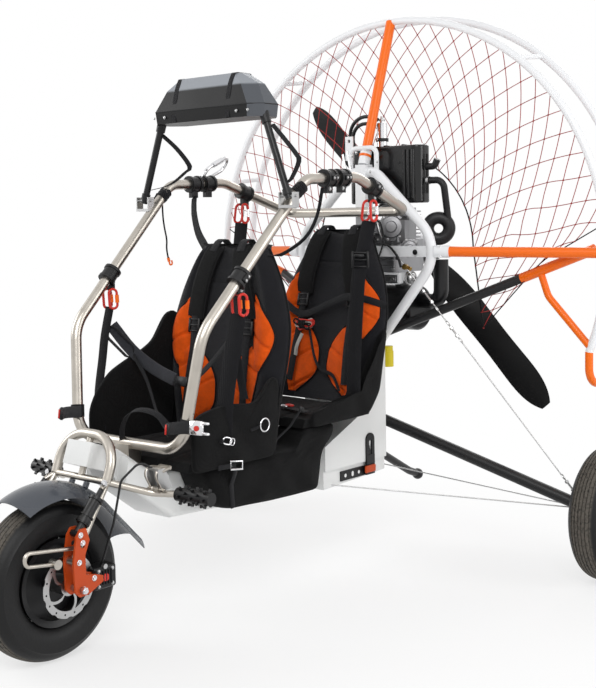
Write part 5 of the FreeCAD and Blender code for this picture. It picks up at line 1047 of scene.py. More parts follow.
def net():
    cords = Piece()
    for start in range(-NET_DEPTH, NET_MESHES + 1):
        for way in (1, -1):
            line = []
            for i in range(NET_DEPTH * 4 + 1):
                inward = i / (NET_DEPTH * 4)
                around = (start + NET_DEPTH * inward) / NET_MESHES
                if 0 <= around <= 1:
                    line.append(net_place(around if way > 0 else 1 - around, inward))
            if len(line) > 1:
                cords.tube(line, NET_CORD_RADIUS, 0, 5)
    for row in range(NET_DEPTH * 2 + 1):
        for step in range(NET_MESHES + 1 - row % 2):
            knot = net_place((step + row % 2 / 2) / NET_MESHES, row / (NET_DEPTH * 2))
            cords.turned(KNOT, knot, (0, 1, 0), 0, 6)
    for i in range(NET_MESHES + 1):
        hook = net_place(i / NET_MESHES, 0)
        cords.turned(HOOK, hook, (0, 1, 0), 1, 8)
    cords.tube([net_place(i / 90, 1) for i in range(91)], 0.0024, 1, 6)
    for end in (0, 1):
        cords.tube([net_place(end, i / 20) for i in range(21)], 0.0018, 1, 6)
    piece = cords.made("net_cords", "frame", "net_cord", NET_CORD, BLACK_CORD, bend=60)
    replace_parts(piece, "propeller_net")


net()
# %% [markdown]
# Small hardware repeats all over the machine: ovals, karabiners, bands round a tube. Each kind is
# one function that adds to a piece, so a row of them is a short loop over places.
# %% Hardware helpers
def oval(centre, down, across, tall, wide, steps=28):
    """A closed stadium, as a karabiner or a loop of webbing has."""
    down = Vector(down).normalized()
    across = Vector(across).normalized()
    radius = wide / 2
    line = []
    for turn in turns(steps):
        shift = math.copysign(max(0.0, tall / 2 - radius), math.cos(turn))
        line.append(centre + down * (radius * math.cos(turn) + shift) + across * (radius * math.sin(turn)))
    return line


def karabiner(piece, top, down, across, finish, gate, tall, wide, wire):
    """An oval ring with a thicker screwed gate on one side."""
    down = Vector(down).normalized()
    across = Vector(across).normalized()
    centre = top + down * (tall / 2)
    piece.tube(oval(centre, down, across, tall, wide), wire, finish, 8, loop=True)
    side = centre + across * (wide / 2)
    piece.tube([side - down * tall * 0.2, side + down * tall * 0.2], wire * 1.5, gate, 10)


def band(piece, centre, way, radius, width, finish, thick=0.003):
    """A flat ring round a tube."""
    half = width / 2
    piece.turned([(-half, radius), (-half, radius + thick), (half, radius + thick), (half, radius)],
                 centre, way, finish, 24, closed=True)


print("hardware helpers ready")


# %% [markdown]
# Four moulded clamps sit on each side of the cage. Each has two raised rims, a split with bolts, and
# an ear that a karabiner hangs from. The front ones carry the front seat and the rear ones the
# rear seat, and a long silver karabiner lies over the right roof tube, ready for a wing.
# %% Clamps and karabiners
# The middle of each clamp and the direction of its tube.
CLAMPS = [((0.2535, 0.4520, 0.9336), (0.019, 0.394, 0.393)),
          ((0.2652, 0.8099, 1.1964), (-0.002, 0.233, 0.008)),
          ((0.2646, 0.8704, 1.1984), (-0.002, 0.233, 0.008)),
          ((0.2559, 1.0311, 1.1713), (-0.027, 0.287, -0.099))]
CLAMP_RADIUS = 0.0228


def clamp_fittings():
    piece = Piece()
    for side in (1, -1):
        for place, (x, y, z) in CLAMPS:
            centre = spots([place], side)[0]
            way = Vector((side * x, y, z)).normalized()
            for step in (-0.017, 0.017):
                band(piece, centre + way * step, way, CLAMP_RADIUS, 0.008, 0, 0.0028)
            outward = Vector((side, 0, 0))
            split = centre + outward * 0.025
            piece.slab(split, (0.010, 0.024, 0.016), 0, outward, way.cross(outward), 0.2)
            for step in (-0.007, 0.007):
                piece.bolt(split + outward * 0.005 + way * step, outward, 0.003, 1)
            piece.bolt(centre - Vector((0, 0, 0.030)) + outward * 0.007, outward, 0.0042, 1)
    piece.made("clamp_fittings", "frame", "black_plastic", BLACK_PLASTIC, PLAIN_STEEL, bend=40)


def karabiners():
    piece = Piece()
    for side in (1, -1):
        for shift in (-0.012, 0.013):
            top = at(side * 0.2535 + shift, 0.450, 0.893)
            karabiner(piece, top, (0, 0.05, -1), (0.35, 1, 0), 0, 2, 0.056, 0.024, 0.0038)
        for shift, lean in ((-0.015, 0.35), (0.016, 0.11)):
            top = at(side * 0.2555 + shift * 0.7, 1.020, 1.134)
            karabiner(piece, top, (shift * 6, -0.1, -1), (lean, 1, 0), 0, 1, 0.060, 0.026, 0.0040)
    start = at(-0.262, 0.852, 1.222)
    karabiner(piece, start, at(-0.262, 0.962, 1.268) - start, (0.55, 0, 1), 1, 1, 0.112, 0.046, 0.0058)
    piece.made("karabiners", "frame", "bolt_steel", RED_PAINT, BRIGHT_STEEL, ORANGE_PAINT, bend=60)


clamp_fittings()
karabiners()


# %% [markdown]
# Broad risers hang from the karabiners and carry the seats; they are pulled straight, and each
# keeps its flat face towards the person. The chest strap sags between the front risers, grey and
# padded on the right, and a bound handle loops beside it.
# %% Risers and straps
FLAT = (0.9, 0.43, 0)
FRONT_LEFT = [(0.252, 0.447, 0.842), (0.244, 0.440, 0.780), (0.230, 0.433, 0.690), (0.216, 0.430, 0.605),
              (0.200, 0.440, 0.520)]
SECOND_LEFT = [(0.236, 0.446, 0.790), (0.228, 0.470, 0.700), (0.219, 0.500, 0.610)]
FRONT_RIGHT = [(-0.252, 0.448, 0.842), (-0.249, 0.424, 0.763), (-0.243, 0.408, 0.700), (-0.223, 0.372, 0.590),
               (-0.205, 0.366, 0.500)]
REAR_RISER = [(0.255, 1.014, 1.074), (0.247, 0.992, 0.980), (0.236, 0.982, 0.900), (0.212, 0.990, 0.680),
              (0.196, 1.004, 0.540)]
ROOF_RIGHT = [(-0.264, 0.812, 1.156), (-0.240, 0.785, 1.110), (-0.185, 0.745, 1.050), (-0.110, 0.700, 1.006)]
ROOF_LEFT = [(0.262, 0.790, 1.170), (0.258, 0.768, 1.090), (0.232, 0.745, 1.030), (0.170, 0.715, 0.985),
             (0.130, 0.700, 0.985)]
CHEST_PAD = [(-0.245, 0.447, 0.790), (-0.200, 0.480, 0.718), (-0.130, 0.500, 0.668), (-0.050, 0.505, 0.640)]
CHEST_STRAP = [(-0.060, 0.503, 0.642), (0.010, 0.494, 0.640), (0.080, 0.474, 0.668), (0.150, 0.455, 0.712),
               (0.236, 0.445, 0.785)]
LOOSE_STRAP = [(-0.200, 0.480, 0.715), (-0.130, 0.470, 0.640), (-0.050, 0.430, 0.565), (0.060, 0.350, 0.548),
               (0.150, 0.278, 0.556)]
BUTTON = [(0, 0.007), (0.004, 0.007), (0.005, 0.005), (0.005, 0)]
KEEL_LOOP = [(-0.018, 0.276, 0.500), (0.000, 0.262, 0.545), (0.026, 0.262, 0.582), (0.062, 0.268, 0.597),
             (0.115, 0.276, 0.590), (0.160, 0.276, 0.562)]


def riser(piece, places, width, flat, side=1):
    """Webbing through the places; flat is the direction of its width."""
    piece.strap(flowing(spots(places, side), 0.02), width, Vector(flat), 0, 0.0028)


def harness():
    piece = Piece()
    for places, width in ((FRONT_LEFT, 0.044), (SECOND_LEFT, 0.022), (FRONT_RIGHT, 0.026)):
        riser(piece, places, width, FLAT)
    for side in (1, -1):
        riser(piece, REAR_RISER, 0.042, FLAT, side)
        buckle = at(side * 0.245, 0.982, 0.962)
        ladder_buckle(piece, buckle, FLAT, (0, 0, 1), 2, 0.04)
        piece.slab(buckle + Vector((0.002, -0.008, 0.012)), (0.03, 0.008, 0.010), 2, FLAT, (0, 0, 1), 0.3)
    riser(piece, ROOF_RIGHT, 0.026, (1, 0, 0.5))
    riser(piece, ROOF_LEFT, 0.010, FLAT)
    piece.sweep(flowing(spots(CHEST_PAD), 0.02), rounded_bar(0.036, 0.010), 1, Vector((0.2, 0.3, 1)))
    riser(piece, CHEST_STRAP, 0.020, (0.1, 0.2, 1))
    piece.slab(at(-0.005, 0.490, 0.640), (0.045, 0.010, 0.028), 2, (1, -0.1, 0), (0, 0.2, 1), 0.3)
    handle = oval(at(-0.226, 0.462, 0.742), (0.45, 0.35, -0.6), (0.5, 0.1, 0.6), 0.105, 0.042)
    piece.strap(handle, 0.016, Vector((0.3, -0.9, 0.1)), 0, 0.004, loop=True)
    riser(piece, LOOSE_STRAP, 0.012, (0, 0.3, 1))
    made = piece.made("harness_webbing", "frame", "webbing", WEBBING, GREY_WEBBING, BLACK_PLASTIC, bend=50)
    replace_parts(made, "harness_straps")


def front_tube_way(side):
    """The direction of the cage's front upright, from its foot up."""
    return Vector((side * 0.043, 0.038, 0.298)).normalized()


def tube_bands():
    """The belts buckled round the cage's lower tubes, and the loose one over the keel."""
    piece = Piece()
    for side in (1, -1):
        tube = at(side * 0.2145, 0.289, 0.566)
        along = front_tube_way(side)
        band(piece, tube, along, 0.0155, 0.034, 0, 0.003)
        belt = [tube + Vector(step) for step in
                ((-0.055, -0.012, -0.012), (-0.02, -0.020, -0.004), (0.042, -0.020, 0.004))]
        start, end = belt[0], belt[-1]
        piece.strap(flowing(belt, 0.01), 0.032, along, 0, 0.004)
        if side > 0:
            piece.slab(end + Vector((0.012, 0, 0)), (0.040, 0.010, 0.036), 1, (1, 0.2, 0), along, 0.25)
            for level in (-0.013, 0.013):
                prong = end + Vector((0.040, 0.004, level))
                piece.slab(prong, (0.022, 0.008, 0.007), 1, (1, 0.2, 0), along, 0.3)
            piece.turned(BUTTON, end + Vector((0.018, -0.005, 0)), (0.2, -1, 0), 2, 16)
        piece.slab(start, (0.016, 0.014, 0.036), 3, (1, 0, 0), along, 0.3)
        piece.slab(start + Vector((-0.002, -0.008, 0)), (0.006, 0.003, 0.026), 2, (1, 0, 0), along, 0.3)
    piece.strap(flowing(spots(KEEL_LOOP), 0.01), 0.017, Vector((0.3, 0.6, 0.4)), 0, 0.0025)
    piece.made("tube_bands", "frame", "webbing", WEBBING, BRIGHT_STEEL, RED_PAINT, BLACK_PLASTIC, bend=50)


harness()
tube_bands()


# %% [markdown]
# The streamlined pod over the front seat is a moulded shell. Two flat bands hold it, found by
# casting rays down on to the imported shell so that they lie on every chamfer; its rods end in
# black collars, and short webbing ties hang beside them.
# %% Pod details
RIM_CUT = 0.035
TIE_TAIL = [(0.004, -0.018, 0.004), (0.010, -0.030, -0.020), (0.012, -0.034, -0.050)]
POD_TIES = [[(-0.222, 0.629, 1.345), (-0.150, 0.632, 1.292), (-0.100, 0.632, 1.240), (-0.116, 0.630, 1.224),
             (-0.180, 0.628, 1.190), (-0.262, 0.626, 1.176)],
            [(0.221, 0.630, 1.340), (0.262, 0.632, 1.298), (0.302, 0.632, 1.256), (0.312, 0.630, 1.236),
             (0.286, 0.627, 1.190), (0.266, 0.626, 1.180)]]


def lowered(node, x, y, above=3.0):
    """Where a ray cast straight down meets a node."""
    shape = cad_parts[node]
    back = shape.matrix_world.inverted()
    start = back @ at(x, y, above)
    hit, place, _, _ = shape.ray_cast(start, back @ at(x, y, 0) - start)
    return shape.matrix_world @ place if hit else None


def pod_details():
    piece = Piece()
    low, high = corners("pod_shell")
    front, back = low.y - AXLE.y, high.y - AXLE.y
    for x in (-0.104, 0.104):
        over = [lowered("pod_shell", x, front + (back - front) * i / 16) for i in range(1, 16)]
        over = [place + Vector((0, 0, 0.0012)) for place in over if place]
        start, end = (Vector((x, over[i].y + step, low.z + 0.002)) for i, step in ((0, -0.006), (-1, 0.006)))
        rise = Vector((0, 0, 0.028))
        piece.strap([start, start + rise] + over + [end + rise, end], 0.017, Vector((1, 0, 0)), 0, 0.0016)
    for side in (1, -1):
        top = at(side * 0.1945, 0.622, 1.3815)
        way = (top - at(side * 0.281, 0.622, 1.142)).normalized()
        piece.turned([(-0.040, 0.0107), (-0.040, 0.0132), (-0.006, 0.0142), (0.004, 0.0125)], top, way, 1, 20)
        collar = [(0.004, 0.0102), (0.004, 0.0128), (0.020, 0.0128), (0.020, 0.0102)]
        piece.turned(collar, at(side * 0.281, 0.622, 1.146), way, 1, 20, closed=True)
        for x in (0.182, 0.140):
            piece.bolt(Vector((side * x, low.y - 0.001, low.z + 0.017)), (0, -1, 0), 0.0032, 2)
    x, y = Vector((RIM_CUT, 0, 0)), Vector((0, RIM_CUT + 0.001, 0))
    a, b, c, d = (Vector((i, j, low.z + 0.034)) for i, j in
                  ((low.x, low.y), (high.x, low.y), (high.x, high.y), (low.x, high.y)))
    rim = [a + x, b - x, b + y, c - y, c - x, d + x, d - y, a + y]
    piece.tube(rim, 0.0016, 1, 6, loop=True)
    for line in POD_TIES:
        piece.strap(flowing(spots(line), 0.012), 0.016, Vector((0.3, 0.9, 0.2)), 0, 0.002)
    piece.made("pod_bands", "pod", "webbing", WEBBING, BLACK_PLASTIC, PLAIN_STEEL, bend=40)


def tube_ties():
    """Straps wound round the roof tubes beside the pod's brackets."""
    piece = Piece()
    for side in (1, -1):
        centre = at(side * 0.2655, 0.684, 1.163)
        way = Vector((side * 0.008, 0.058, 0.045)).normalized()
        for turn, step in ((0.0, -0.012), (0.6, 0.0), (1.3, 0.011)):
            tilted = (way + Vector((0.25 * math.cos(turn), 0.2 * math.sin(turn), 0))).normalized()
            band(piece, centre + way * step, tilted, 0.0158, 0.011, 0, 0.0024)
        tail = [centre + Vector((side * x, y, z)) for x, y, z in TIE_TAIL]
        piece.strap(flowing(tail, 0.008), 0.012, Vector((0.8, 0.5, 0)), 0, 0.002)
    piece.made("tube_ties", "frame", "webbing", WEBBING, bend=40)


pod_details()
tube_ties()


# %% [markdown]
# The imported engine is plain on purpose: a block, a finned cylinder, an airbox and a silencer. Here
# it gets what shows between the frame tubes: the reduction gear's cast cover, a carburettor with its
# cables, the spark plug and its lead, hoses with worm clamps, and the ribs of the airbox.
# %% Engine details
COVER = [(-0.012, 1), (0, 1), (0.002, 0.97), (0.004, 0.80), (0.013, 0.72), (0.015, 0.42), (0.022, 0.36),
         (0.023, 0.14), (0.023, 0)]
FORWARD = (0, -1, 0)
UP = (0, 0, 1)
# The middle, size, finish, direction across, direction up and edge of each cast slab.
BLOCK = [((0.060, 1.372, 1.020), (0.110, 0.030, 0.050), 0, (1, 0.1, 0), UP, 0.25),
         ((0.122, 1.395, 1.040), (0.040, 0.060, 0.090), 0, (1, 0.1, 0), (0.1, 0, 1), 0.25)]
FEED = [((0.070, 1.336, 0.886), (0.140, 0.032, 0.034), 2, (1, 0, 0), UP, 0.12),
        ((0.070, 1.318, 0.886), (0.126, 0.004, 0.018), 0, (1, 0, 0), UP, 0.2)]
# Parts turned on a lathe: outline, middle, axis, finish and steps round it.
CARBURETTOR = [([(0, 0.017), (0.004, 0.019), (0.022, 0.019), (0.022, 0.013)],
                (0.018, 1.330, 1.052), FORWARD, 0, 24),
               ([(0, 0.012), (0.020, 0.012), (0.024, 0.009), (0.024, 0)],
                (0.020, 1.345, 1.024), (0, 0, -1), 1, 20)]
PLUGS = [([(0, 0.010), (0.014, 0.010), (0.014, 0)], (0.152, 1.345, 0.925), (0.3, -1, 0), 3, 6),
         ([(0, 0.0075), (0.004, 0.0075), (0.004, 0.006), (0.014, 0.006), (0.014, 0.004), (0.022, 0.004),
           (0.022, 0)], (0.074, 1.445, 1.121), UP, 1, 12)]
# Each hose: its places, its radius and its finish.
HOSES = [([(0.006, 1.404, 1.404), (-0.020, 1.400, 1.416), (-0.060, 1.400, 1.416), (-0.095, 1.402, 1.396),
           (-0.112, 1.406, 1.362), (-0.104, 1.408, 1.320), (-0.070, 1.408, 1.304)], 0.0062, 0),
         ([(0.000, 1.398, 1.384), (-0.034, 1.390, 1.394), (-0.068, 1.390, 1.386), (-0.090, 1.394, 1.358),
           (-0.088, 1.398, 1.322), (-0.056, 1.400, 1.304)], 0.0062, 0),
         ([(0.074, 1.445, 1.140), (0.062, 1.420, 1.144), (0.020, 1.380, 1.118), (-0.030, 1.362, 1.060),
           (-0.050, 1.362, 1.000)], 0.0036, 0),
         ([(0.010, 1.336, 1.078), (-0.010, 1.320, 1.110), (-0.024, 1.322, 1.170), (-0.026, 1.330, 1.230)],
          0.0030, 0),
         ([(0.050, 1.330, 1.076), (0.076, 1.318, 1.060), (0.088, 1.312, 1.006), (0.070, 1.300, 0.944),
           (0.030, 1.300, 0.900)], 0.0030, 0),
         ([(0.030, 1.340, 1.020), (0.060, 1.322, 1.000), (0.110, 1.304, 0.996), (0.150, 1.302, 0.960),
           (0.156, 1.312, 0.925)], 0.0040, 0),
         ([(0.020, 1.344, 0.998), (0.030, 1.300, 0.980), (0.060, 1.292, 0.930), (0.052, 1.300, 0.880),
           (0.020, 1.300, 0.800)], 0.0045, 0),
         ([(-0.020, 1.300, 1.000), (-0.030, 1.295, 0.900), (-0.020, 1.296, 0.760)], 0.0040, 1)]


def cover(piece, centre, axis, radius, finish, bolts=6):
    """A cast cover: a flange with bolts round it, a dome and a boss."""
    axis = Vector(axis).normalized()
    piece.turned([(depth, radius * share) for depth, share in COVER], centre, axis, finish, 36)
    first = axis.orthogonal().normalized()
    second = axis.cross(first)
    for i in range(bolts):
        turn = 2 * math.pi * (i + 0.5) / bolts
        spoke = first * math.cos(turn) + second * math.sin(turn)
        seat = centre + spoke * radius * 0.9
        piece.turned([(0.001, 0.006), (0.006, 0.0055), (0.006, 0)], seat, axis, finish, 12)
        piece.bolt(seat + axis * 0.006, axis, 0.003, 1)
        rib = [centre + spoke * radius * 0.45 + axis * 0.013, centre + spoke * radius * 0.82 + axis * 0.005]
        piece.tube(rib, 0.0022, finish, 6)


def lathe(piece, *parts):
    """Turned parts, each as in the tables above."""
    for outline, centre, axis, finish, steps in parts:
        piece.turned(outline, at(*centre), axis, finish, steps)


def bolts_at(piece, y, radius, *places):
    """Bolts that face forward at one distance behind the axle."""
    for x, z in places:
        piece.bolt(at(x, y, z), FORWARD, radius, 1)


def slabs(piece, *parts):
    """Cast slabs, each as in the tables above."""
    for centre, size, finish, across, up, edge in parts:
        piece.slab(at(*centre), size, finish, across, up, edge)


def engine_castings():
    piece = Piece()
    cover(piece, at(0.088, 1.362, 1.052), (0.45, -1, 0.1), 0.046, 0)
    cover(piece, at(0.150, 1.372, 0.985), (0.6, -1, 0), 0.030, 0, 5)
    slabs(piece, *BLOCK)
    for level in (0.925, 0.945, 0.965, 0.985):
        piece.slab(at(0, 1.368, level), (0.180, 0.008, 0.005), 0, edge=0.3)
    bolts_at(piece, 1.369, 0.005, (-0.085, 0.916), (-0.085, 0.998), (0.085, 0.916), (0.085, 0.998))
    piece.slab(at(0.020, 1.348, 1.050), (0.044, 0.040, 0.050), 0, (1, 0.3, 0), UP, 0.2)
    lathe(piece, *CARBURETTOR)
    piece.slab(at(0.048, 1.332, 1.070), (0.006, 0.028, 0.020), 1, (1, 0, 0), (0, 0.3, 1), 0.2)
    piece.tube(spots([(0.050, 1.330, 1.074), (0.064, 1.326, 1.036), (0.072, 1.328, 1.018)]), 0.0022, 1, 6)
    bolts_at(piece, 1.326, 0.0035, (0.002, 1.078), (0.040, 1.030), (0.058, 1.012))
    slabs(piece, *FEED)
    bolts_at(piece, 1.318, 0.006, (0.120, 0.886))
    ball = [(-0.019 * math.cos(a), 0.019 * math.sin(a)) for a in [math.pi * i / 14 for i in range(1, 15)]]
    strap = [(-0.004, 0.021), (-0.004, 0.024), (0.004, 0.024), (0.004, 0.021)]
    for outline, closed in ((ball, False), (strap, True)):
        piece.turned(outline, at(0.160, 1.360, 0.888), (1, -0.2, 0), 1, 28, closed=closed)
    lathe(piece, PLUGS[0])
    piece.tube([at(0.142, 1.350, 0.930), at(0.172, 1.344, 0.918)], 0.006, 3, 12)
    lathe(piece, PLUGS[1])
    piece.made("engine_castings", "frame", "engine_alloy",
               CAST_ALLOY, PLAIN_STEEL, WHITE_PAINT, BRASS, bend=40)


def hoses():
    piece = Piece()
    for places, radius, finish in HOSES:
        piece.tube(flowing(spots(places), 0.010), radius, finish, 10)
    for level in (0.992, 0.975, 0.958):
        piece.slab(at(1.008 - level, 1.302, level), (0.030, 0.010, 0.008), 0, (1, 0.1, 0.3), UP, 0.3)
    piece.made("engine_hoses", "frame", "black_plastic", BLACK_PLASTIC, WEBBING, bend=50)


def airbox_ribs():
    piece = Piece()
    low, high = corners("airbox")
    middle = (low + high) / 2
    for inset, back in ((0.062, 0), (0.046, 0), (0.030, 0.001), (0.014, 0.016)):
        ends = (low.z + 0.015, high.z - 0.015)
        piece.tube([Vector((high.x - inset, low.y + back, z)) for z in ends], 0.0056, 0, 16)
    for x in (low.x + 0.03, middle.x, high.x - 0.075):
        piece.slab(Vector((x, middle.y, high.z + 0.001)), (0.012, 0.060, 0.005), 0, edge=0.4)
    for x in (low.x + 0.012, high.x - 0.012):
        piece.bolt(Vector((x, middle.y, high.z)), UP, 0.0045, 1)
    band(piece, at(0.200, 1.408, 1.200), (1, 0, 0), 0.0112, 0.009, 1, 0.0018)
    band(piece, at(0.018, 1.409, 1.338), UP, 0.0175, 0.011, 2, 0.0035)
    piece.slab(at(0.018, 1.390, 1.338), (0.012, 0.020, 0.011), 2)
    bolts_at(piece, 1.380, 0.004, (0.018, 1.338))
    nipple = [(0, 0.010), (0.006, 0.010), (0.006, 0.005), (0.016, 0.0045), (0.017, 0)]
    piece.turned(nipple, at(0.018, 1.409, 1.400), UP, 1, 16)
    piece.made("airbox_ribs", "frame", "black_plastic", GLOSS_BLACK, PLAIN_STEEL, BLACK_PLASTIC, bend=40)


engine_castings()
hoses()
airbox_ribs()


# %% [markdown]
# The engine frame is bolted and stayed. The beam has a bushed hole at each end, two silver links
# lean beside the head of the mast, and each wire stay has a plate at its top and turnbuckles where
# a hand can reach them.
# %% Links, stays and frame bolts
NUT = [(-0.004, 0), (-0.004, 0.006), (0.004, 0.006), (0.004, 0)]
BUSH = [(0, 0.0085), (0.002, 0.0085), (0.002, 0.0055), (-0.004, 0.0055)]
MAST_BOLTS = [(0.042, 1.232), (-0.042, 1.232), (0.070, 1.262), (0.0, 1.060)]


def turnbuckle(piece, centre, way, size):
    """Two side bars between two nuts, with a threaded end and an eye at each side."""
    way = way.normalized()
    across = way.cross(Vector((0, 0, 1))).normalized()
    for side in (-0.0042, 0.0042):
        bar = centre + across * side
        piece.tube([bar - way * size / 2, bar + way * size / 2], 0.0017, 0, 8)
    for end in (-1, 1):
        place = centre + way * end * size / 2
        piece.turned(NUT, place, way, 0, 6)
        piece.tube([place, place + way * end * size * 0.45], 0.0022, 0, 8)
        eye = place + way * end * size * 0.62
        piece.tube(oval(eye, way, across, 0.017, 0.012, 20), 0.0018, 0, 8, loop=True)


def frame_hardware():
    piece = Piece()
    for side in (1, -1):
        start = at(side * 0.1265, 1.337, 0.958)
        end = at(side * 0.7025, 1.456, 0.228)
        way = end - start
        for share, size in ((0.175, 0.044), (0.325, 0.030), (0.95, 0.030)):
            turnbuckle(piece, start + way * share, way, size)
        piece.slab(start, (0.010, 0.016, 0.022), 0, (1, 0, 0), way, 0.2)
        hole = at(side * 0.213, 1.3095, 0.973)
        piece.turned(BUSH, hole, FORWARD, 1, 24)
        piece.bolt(hole, FORWARD, 0.0045, 1)
    for x, z in ((-0.024, 1.300), (-0.042, 1.290)):
        foot = at(x - 0.052, 1.318, z - 0.098)
        top = at(x, 1.326, z)
        piece.slab((foot + top) / 2, (0.008, 0.004, (top - foot).length), 0, (1, 0, 0.3), top - foot, 0.2)
        piece.bolt(top + Vector((0, -0.003, -0.004)), FORWARD, 0.0038)
    for x, z in MAST_BOLTS:
        piece.bolt(at(x, 1.308, z), FORWARD, 0.0035)
    spar = at(0, 1.507, 1.737) - at(0, 1.341, 1.290)
    band(piece, at(0, 1.3385, 1.284), spar, 0.0162, 0.008, 2, 0.004)
    piece.made("frame_hardware", "frame", "bolt_steel", PLAIN_STEEL, BLACK_PAINT, ORANGE_PAINT, bend=40)


frame_hardware()


# %% [markdown]
# The tank's handle is a black plate that runs down to its latch. Its finger hole narrows to a point,
# so a ring of faces between the plate's slot and a teardrop closes the rest; the latch has an orange
# thumb piece, and its bar is lightened by three oval holes that show the pale tank.
# %% Tank latch
HANDLE_MIDDLE = 1.182
HANDLE_STEPS = 36


def centre_of(line):
    return sum(line, Vector()) / len(line)


def tank_latch():
    piece = Piece()
    for side in (1, -1):
        slot = []
        drop = []
        for turn in turns(HANDLE_STEPS):
            wide, tall = math.sin(turn), math.cos(turn)
            low = max(0.0, -tall)
            slot.append(at(side * 0.1228, HANDLE_MIDDLE + 0.0078 * wide,
                           0.362 + math.copysign(0.018, tall) + 0.0078 * tall))
            drop.append(at(side * 0.1236, HANDLE_MIDDLE + 0.0072 * wide * (1 - 0.5 * low),
                           0.377 + 0.0085 * tall - 0.016 * low ** 3))
        piece.skin([slot, drop], 0, ring=True)
        piece.slab(at(side * 0.1229, HANDLE_MIDDLE, 0.322), (0.006, 0.0424, 0.036), 0, edge=0.1)
        piece.slab(at(side * 0.1275, 1.176, 0.296), (0.008, 0.052, 0.024), 1, edge=0.35)
        for y, tall in ((1.062, 0.012), (1.098, 0.016), (1.130, 0.011)):
            hole = oval(at(side * 0.1172, y, 0.292), (0, 0, 1), (0, 1, 0), tall, 0.011, 20)
            piece.skin([hole, [centre_of(hole)] * len(hole)], 2, ring=True)
    piece.made("tank_latch", "frame", "black_plastic", BLACK_PLASTIC, ARM_ORANGE, WHITE_SHELL, bend=40)


tank_latch()
# %% [markdown]
# The front end is where a pilot looks first, so its fasteners count: silver bolts on the orange
# swing arms, the rings of the shock absorbers, the finned brake caliper and the ribbed brake pedal
# of bent strip. They ride on the fork and turn with it.
# %% Fork hardware
ARM_BOLTS = [(0.000, 0.334), (0.006, 0.314), (-0.006, 0.268), (0.039, 0.220), (0.005, 0.200)]
SOCKET_HEAD = [(0, 0.0072), (0.0012, 0.0072), (0.0012, 0.0056), (0.0042, 0.0050), (0.0042, 0.0026),
               (0.0018, 0.0026), (0.0018, 0)]
AXLE_NUT = [(0, 0.009), (0.006, 0.009), (0.006, 0.006), (0.010, 0.006), (0.010, 0)]
SHOCK_RINGS = [(0.026, 0.0165, 0.010), (0.040, 0.0165, 0.004), (0.088, 0.0168, 0.008)]
LEFTWARD = (1, 0, 0)


def fork_hardware():
    piece = Piece()
    faces = corners("swing_arms")
    for side in (1, -1):
        outward = Vector((side, 0, 0))
        for y, z in ARM_BOLTS:
            piece.turned(SOCKET_HEAD, at(faces[side > 0].x, y, z), outward, 0, 20)
        low = at(side * 0.1130, 0.012, 0.340)
        way = (at(side * 0.1120, 0.078, 0.410) - low).normalized()
        for step, radius, width in SHOCK_RINGS:
            band(piece, low + way * step, way, radius, width, 1, 0.002)
        piece.bolt(at(side * 0.112, 0.100, 0.440), (side * 0.4, -1, 0), 0.0065)
        piece.turned(AXLE_NUT, at(side * 0.144, 0, 0.200), outward, 0, 6)
    piece.made("fork_bolts", "fork", "bolt_steel", BRIGHT_STEEL, BLACK_PAINT, bend=35)


def caliper_details():
    piece = Piece()
    low, high = corners("brake_caliper")
    centre = (low + high) / 2
    fin = (0.006, 0.0035, (high.z - low.z) * 0.62)
    for step in (-0.018, -0.009, 0, 0.009, 0.018):
        piece.slab(Vector((high.x + 0.0008, centre.y + step, centre.z)), fin, 0, edge=0.3)
    for step in (-0.022, 0.022):
        for z in (high.z - 0.010, low.z + 0.010):
            piece.bolt(Vector((high.x, centre.y + step, z)), LEFTWARD, 0.0036, 1)
    union = [(-0.005, 0.0065), (0.005, 0.0065), (0.005, 0), (-0.005, 0)]
    piece.turned(union, Vector((high.x, centre.y - 0.004, high.z)), LEFTWARD, 1, 14)
    disc = [(0, 0.010), (0.003, 0.009), (0.003, 0.003), (0.003, 0)]
    piece.turned(disc, Vector((high.x, centre.y, centre.z)), LEFTWARD, 2, 24)
    piece.made("caliper_details", "fork", "black_plastic", BLACK_PAINT, PLAIN_STEEL, RED_PAINT, bend=35)


def pedal_details():
    """Bent strips either side of a ribbed pad, hinged on the peg's tube."""
    piece = Piece()
    low, high = corners("brake_pedal")
    top = high.z
    middle = (low.x + high.x) / 2
    pivot = Vector((0, low.y + 0.012, low.z + 0.002))
    pad = Vector((middle + 0.002, high.y - 0.014, top - 0.004))
    piece.slab(pad, (high.x - low.x + 0.004, 0.030, 0.007), 0, LEFTWARD, (0, -0.35, 1), 0.3)
    for i in range(9):
        x = low.x + 0.002 + (high.x - low.x - 0.004) * i / 8
        rib = [Vector((x, high.y - 0.030, top + 0.001)), Vector((x, high.y + 0.001, top - 0.006))]
        piece.tube(rib, 0.0020, 0, 8)
    for x in (low.x, high.x):
        line = [(x, high.y, top - 0.004), (x - 0.004, low.y + 0.016, top + 0.002),
                (x - 0.006, low.y + 0.001, top - 0.008), (x - 0.004, low.y - 0.002, top - 0.022),
                (x, low.y + 0.004, low.z + 0.018), (x + 0.002, pivot.y, pivot.z)]
        piece.strap(flowing([Vector(place) for place in line], 0.005), 0.007, Vector(LEFTWARD), 0, 0.0025)
    ends = [pivot + Vector((x, 0, 0)) for x in (low.x - 0.006, high.x + 0.008)]
    piece.tube(ends, 0.0055, 0, 12)
    for end, way in zip(ends, (-1, 1)):
        piece.bolt(end, (way, 0, 0), 0.0042)
    coil = []
    for i in range(60):
        turn = 2 * math.pi * i / 12
        step = Vector((middle - 0.010 + 0.0004 * i, 0.0085 * math.cos(turn), 0.0085 * math.sin(turn)))
        coil.append(pivot + step)
    piece.tube(coil, 0.0012, 0, 6)
    piece.made("pedal_details", "fork", "bolt_steel", SATIN_STEEL, bend=45)


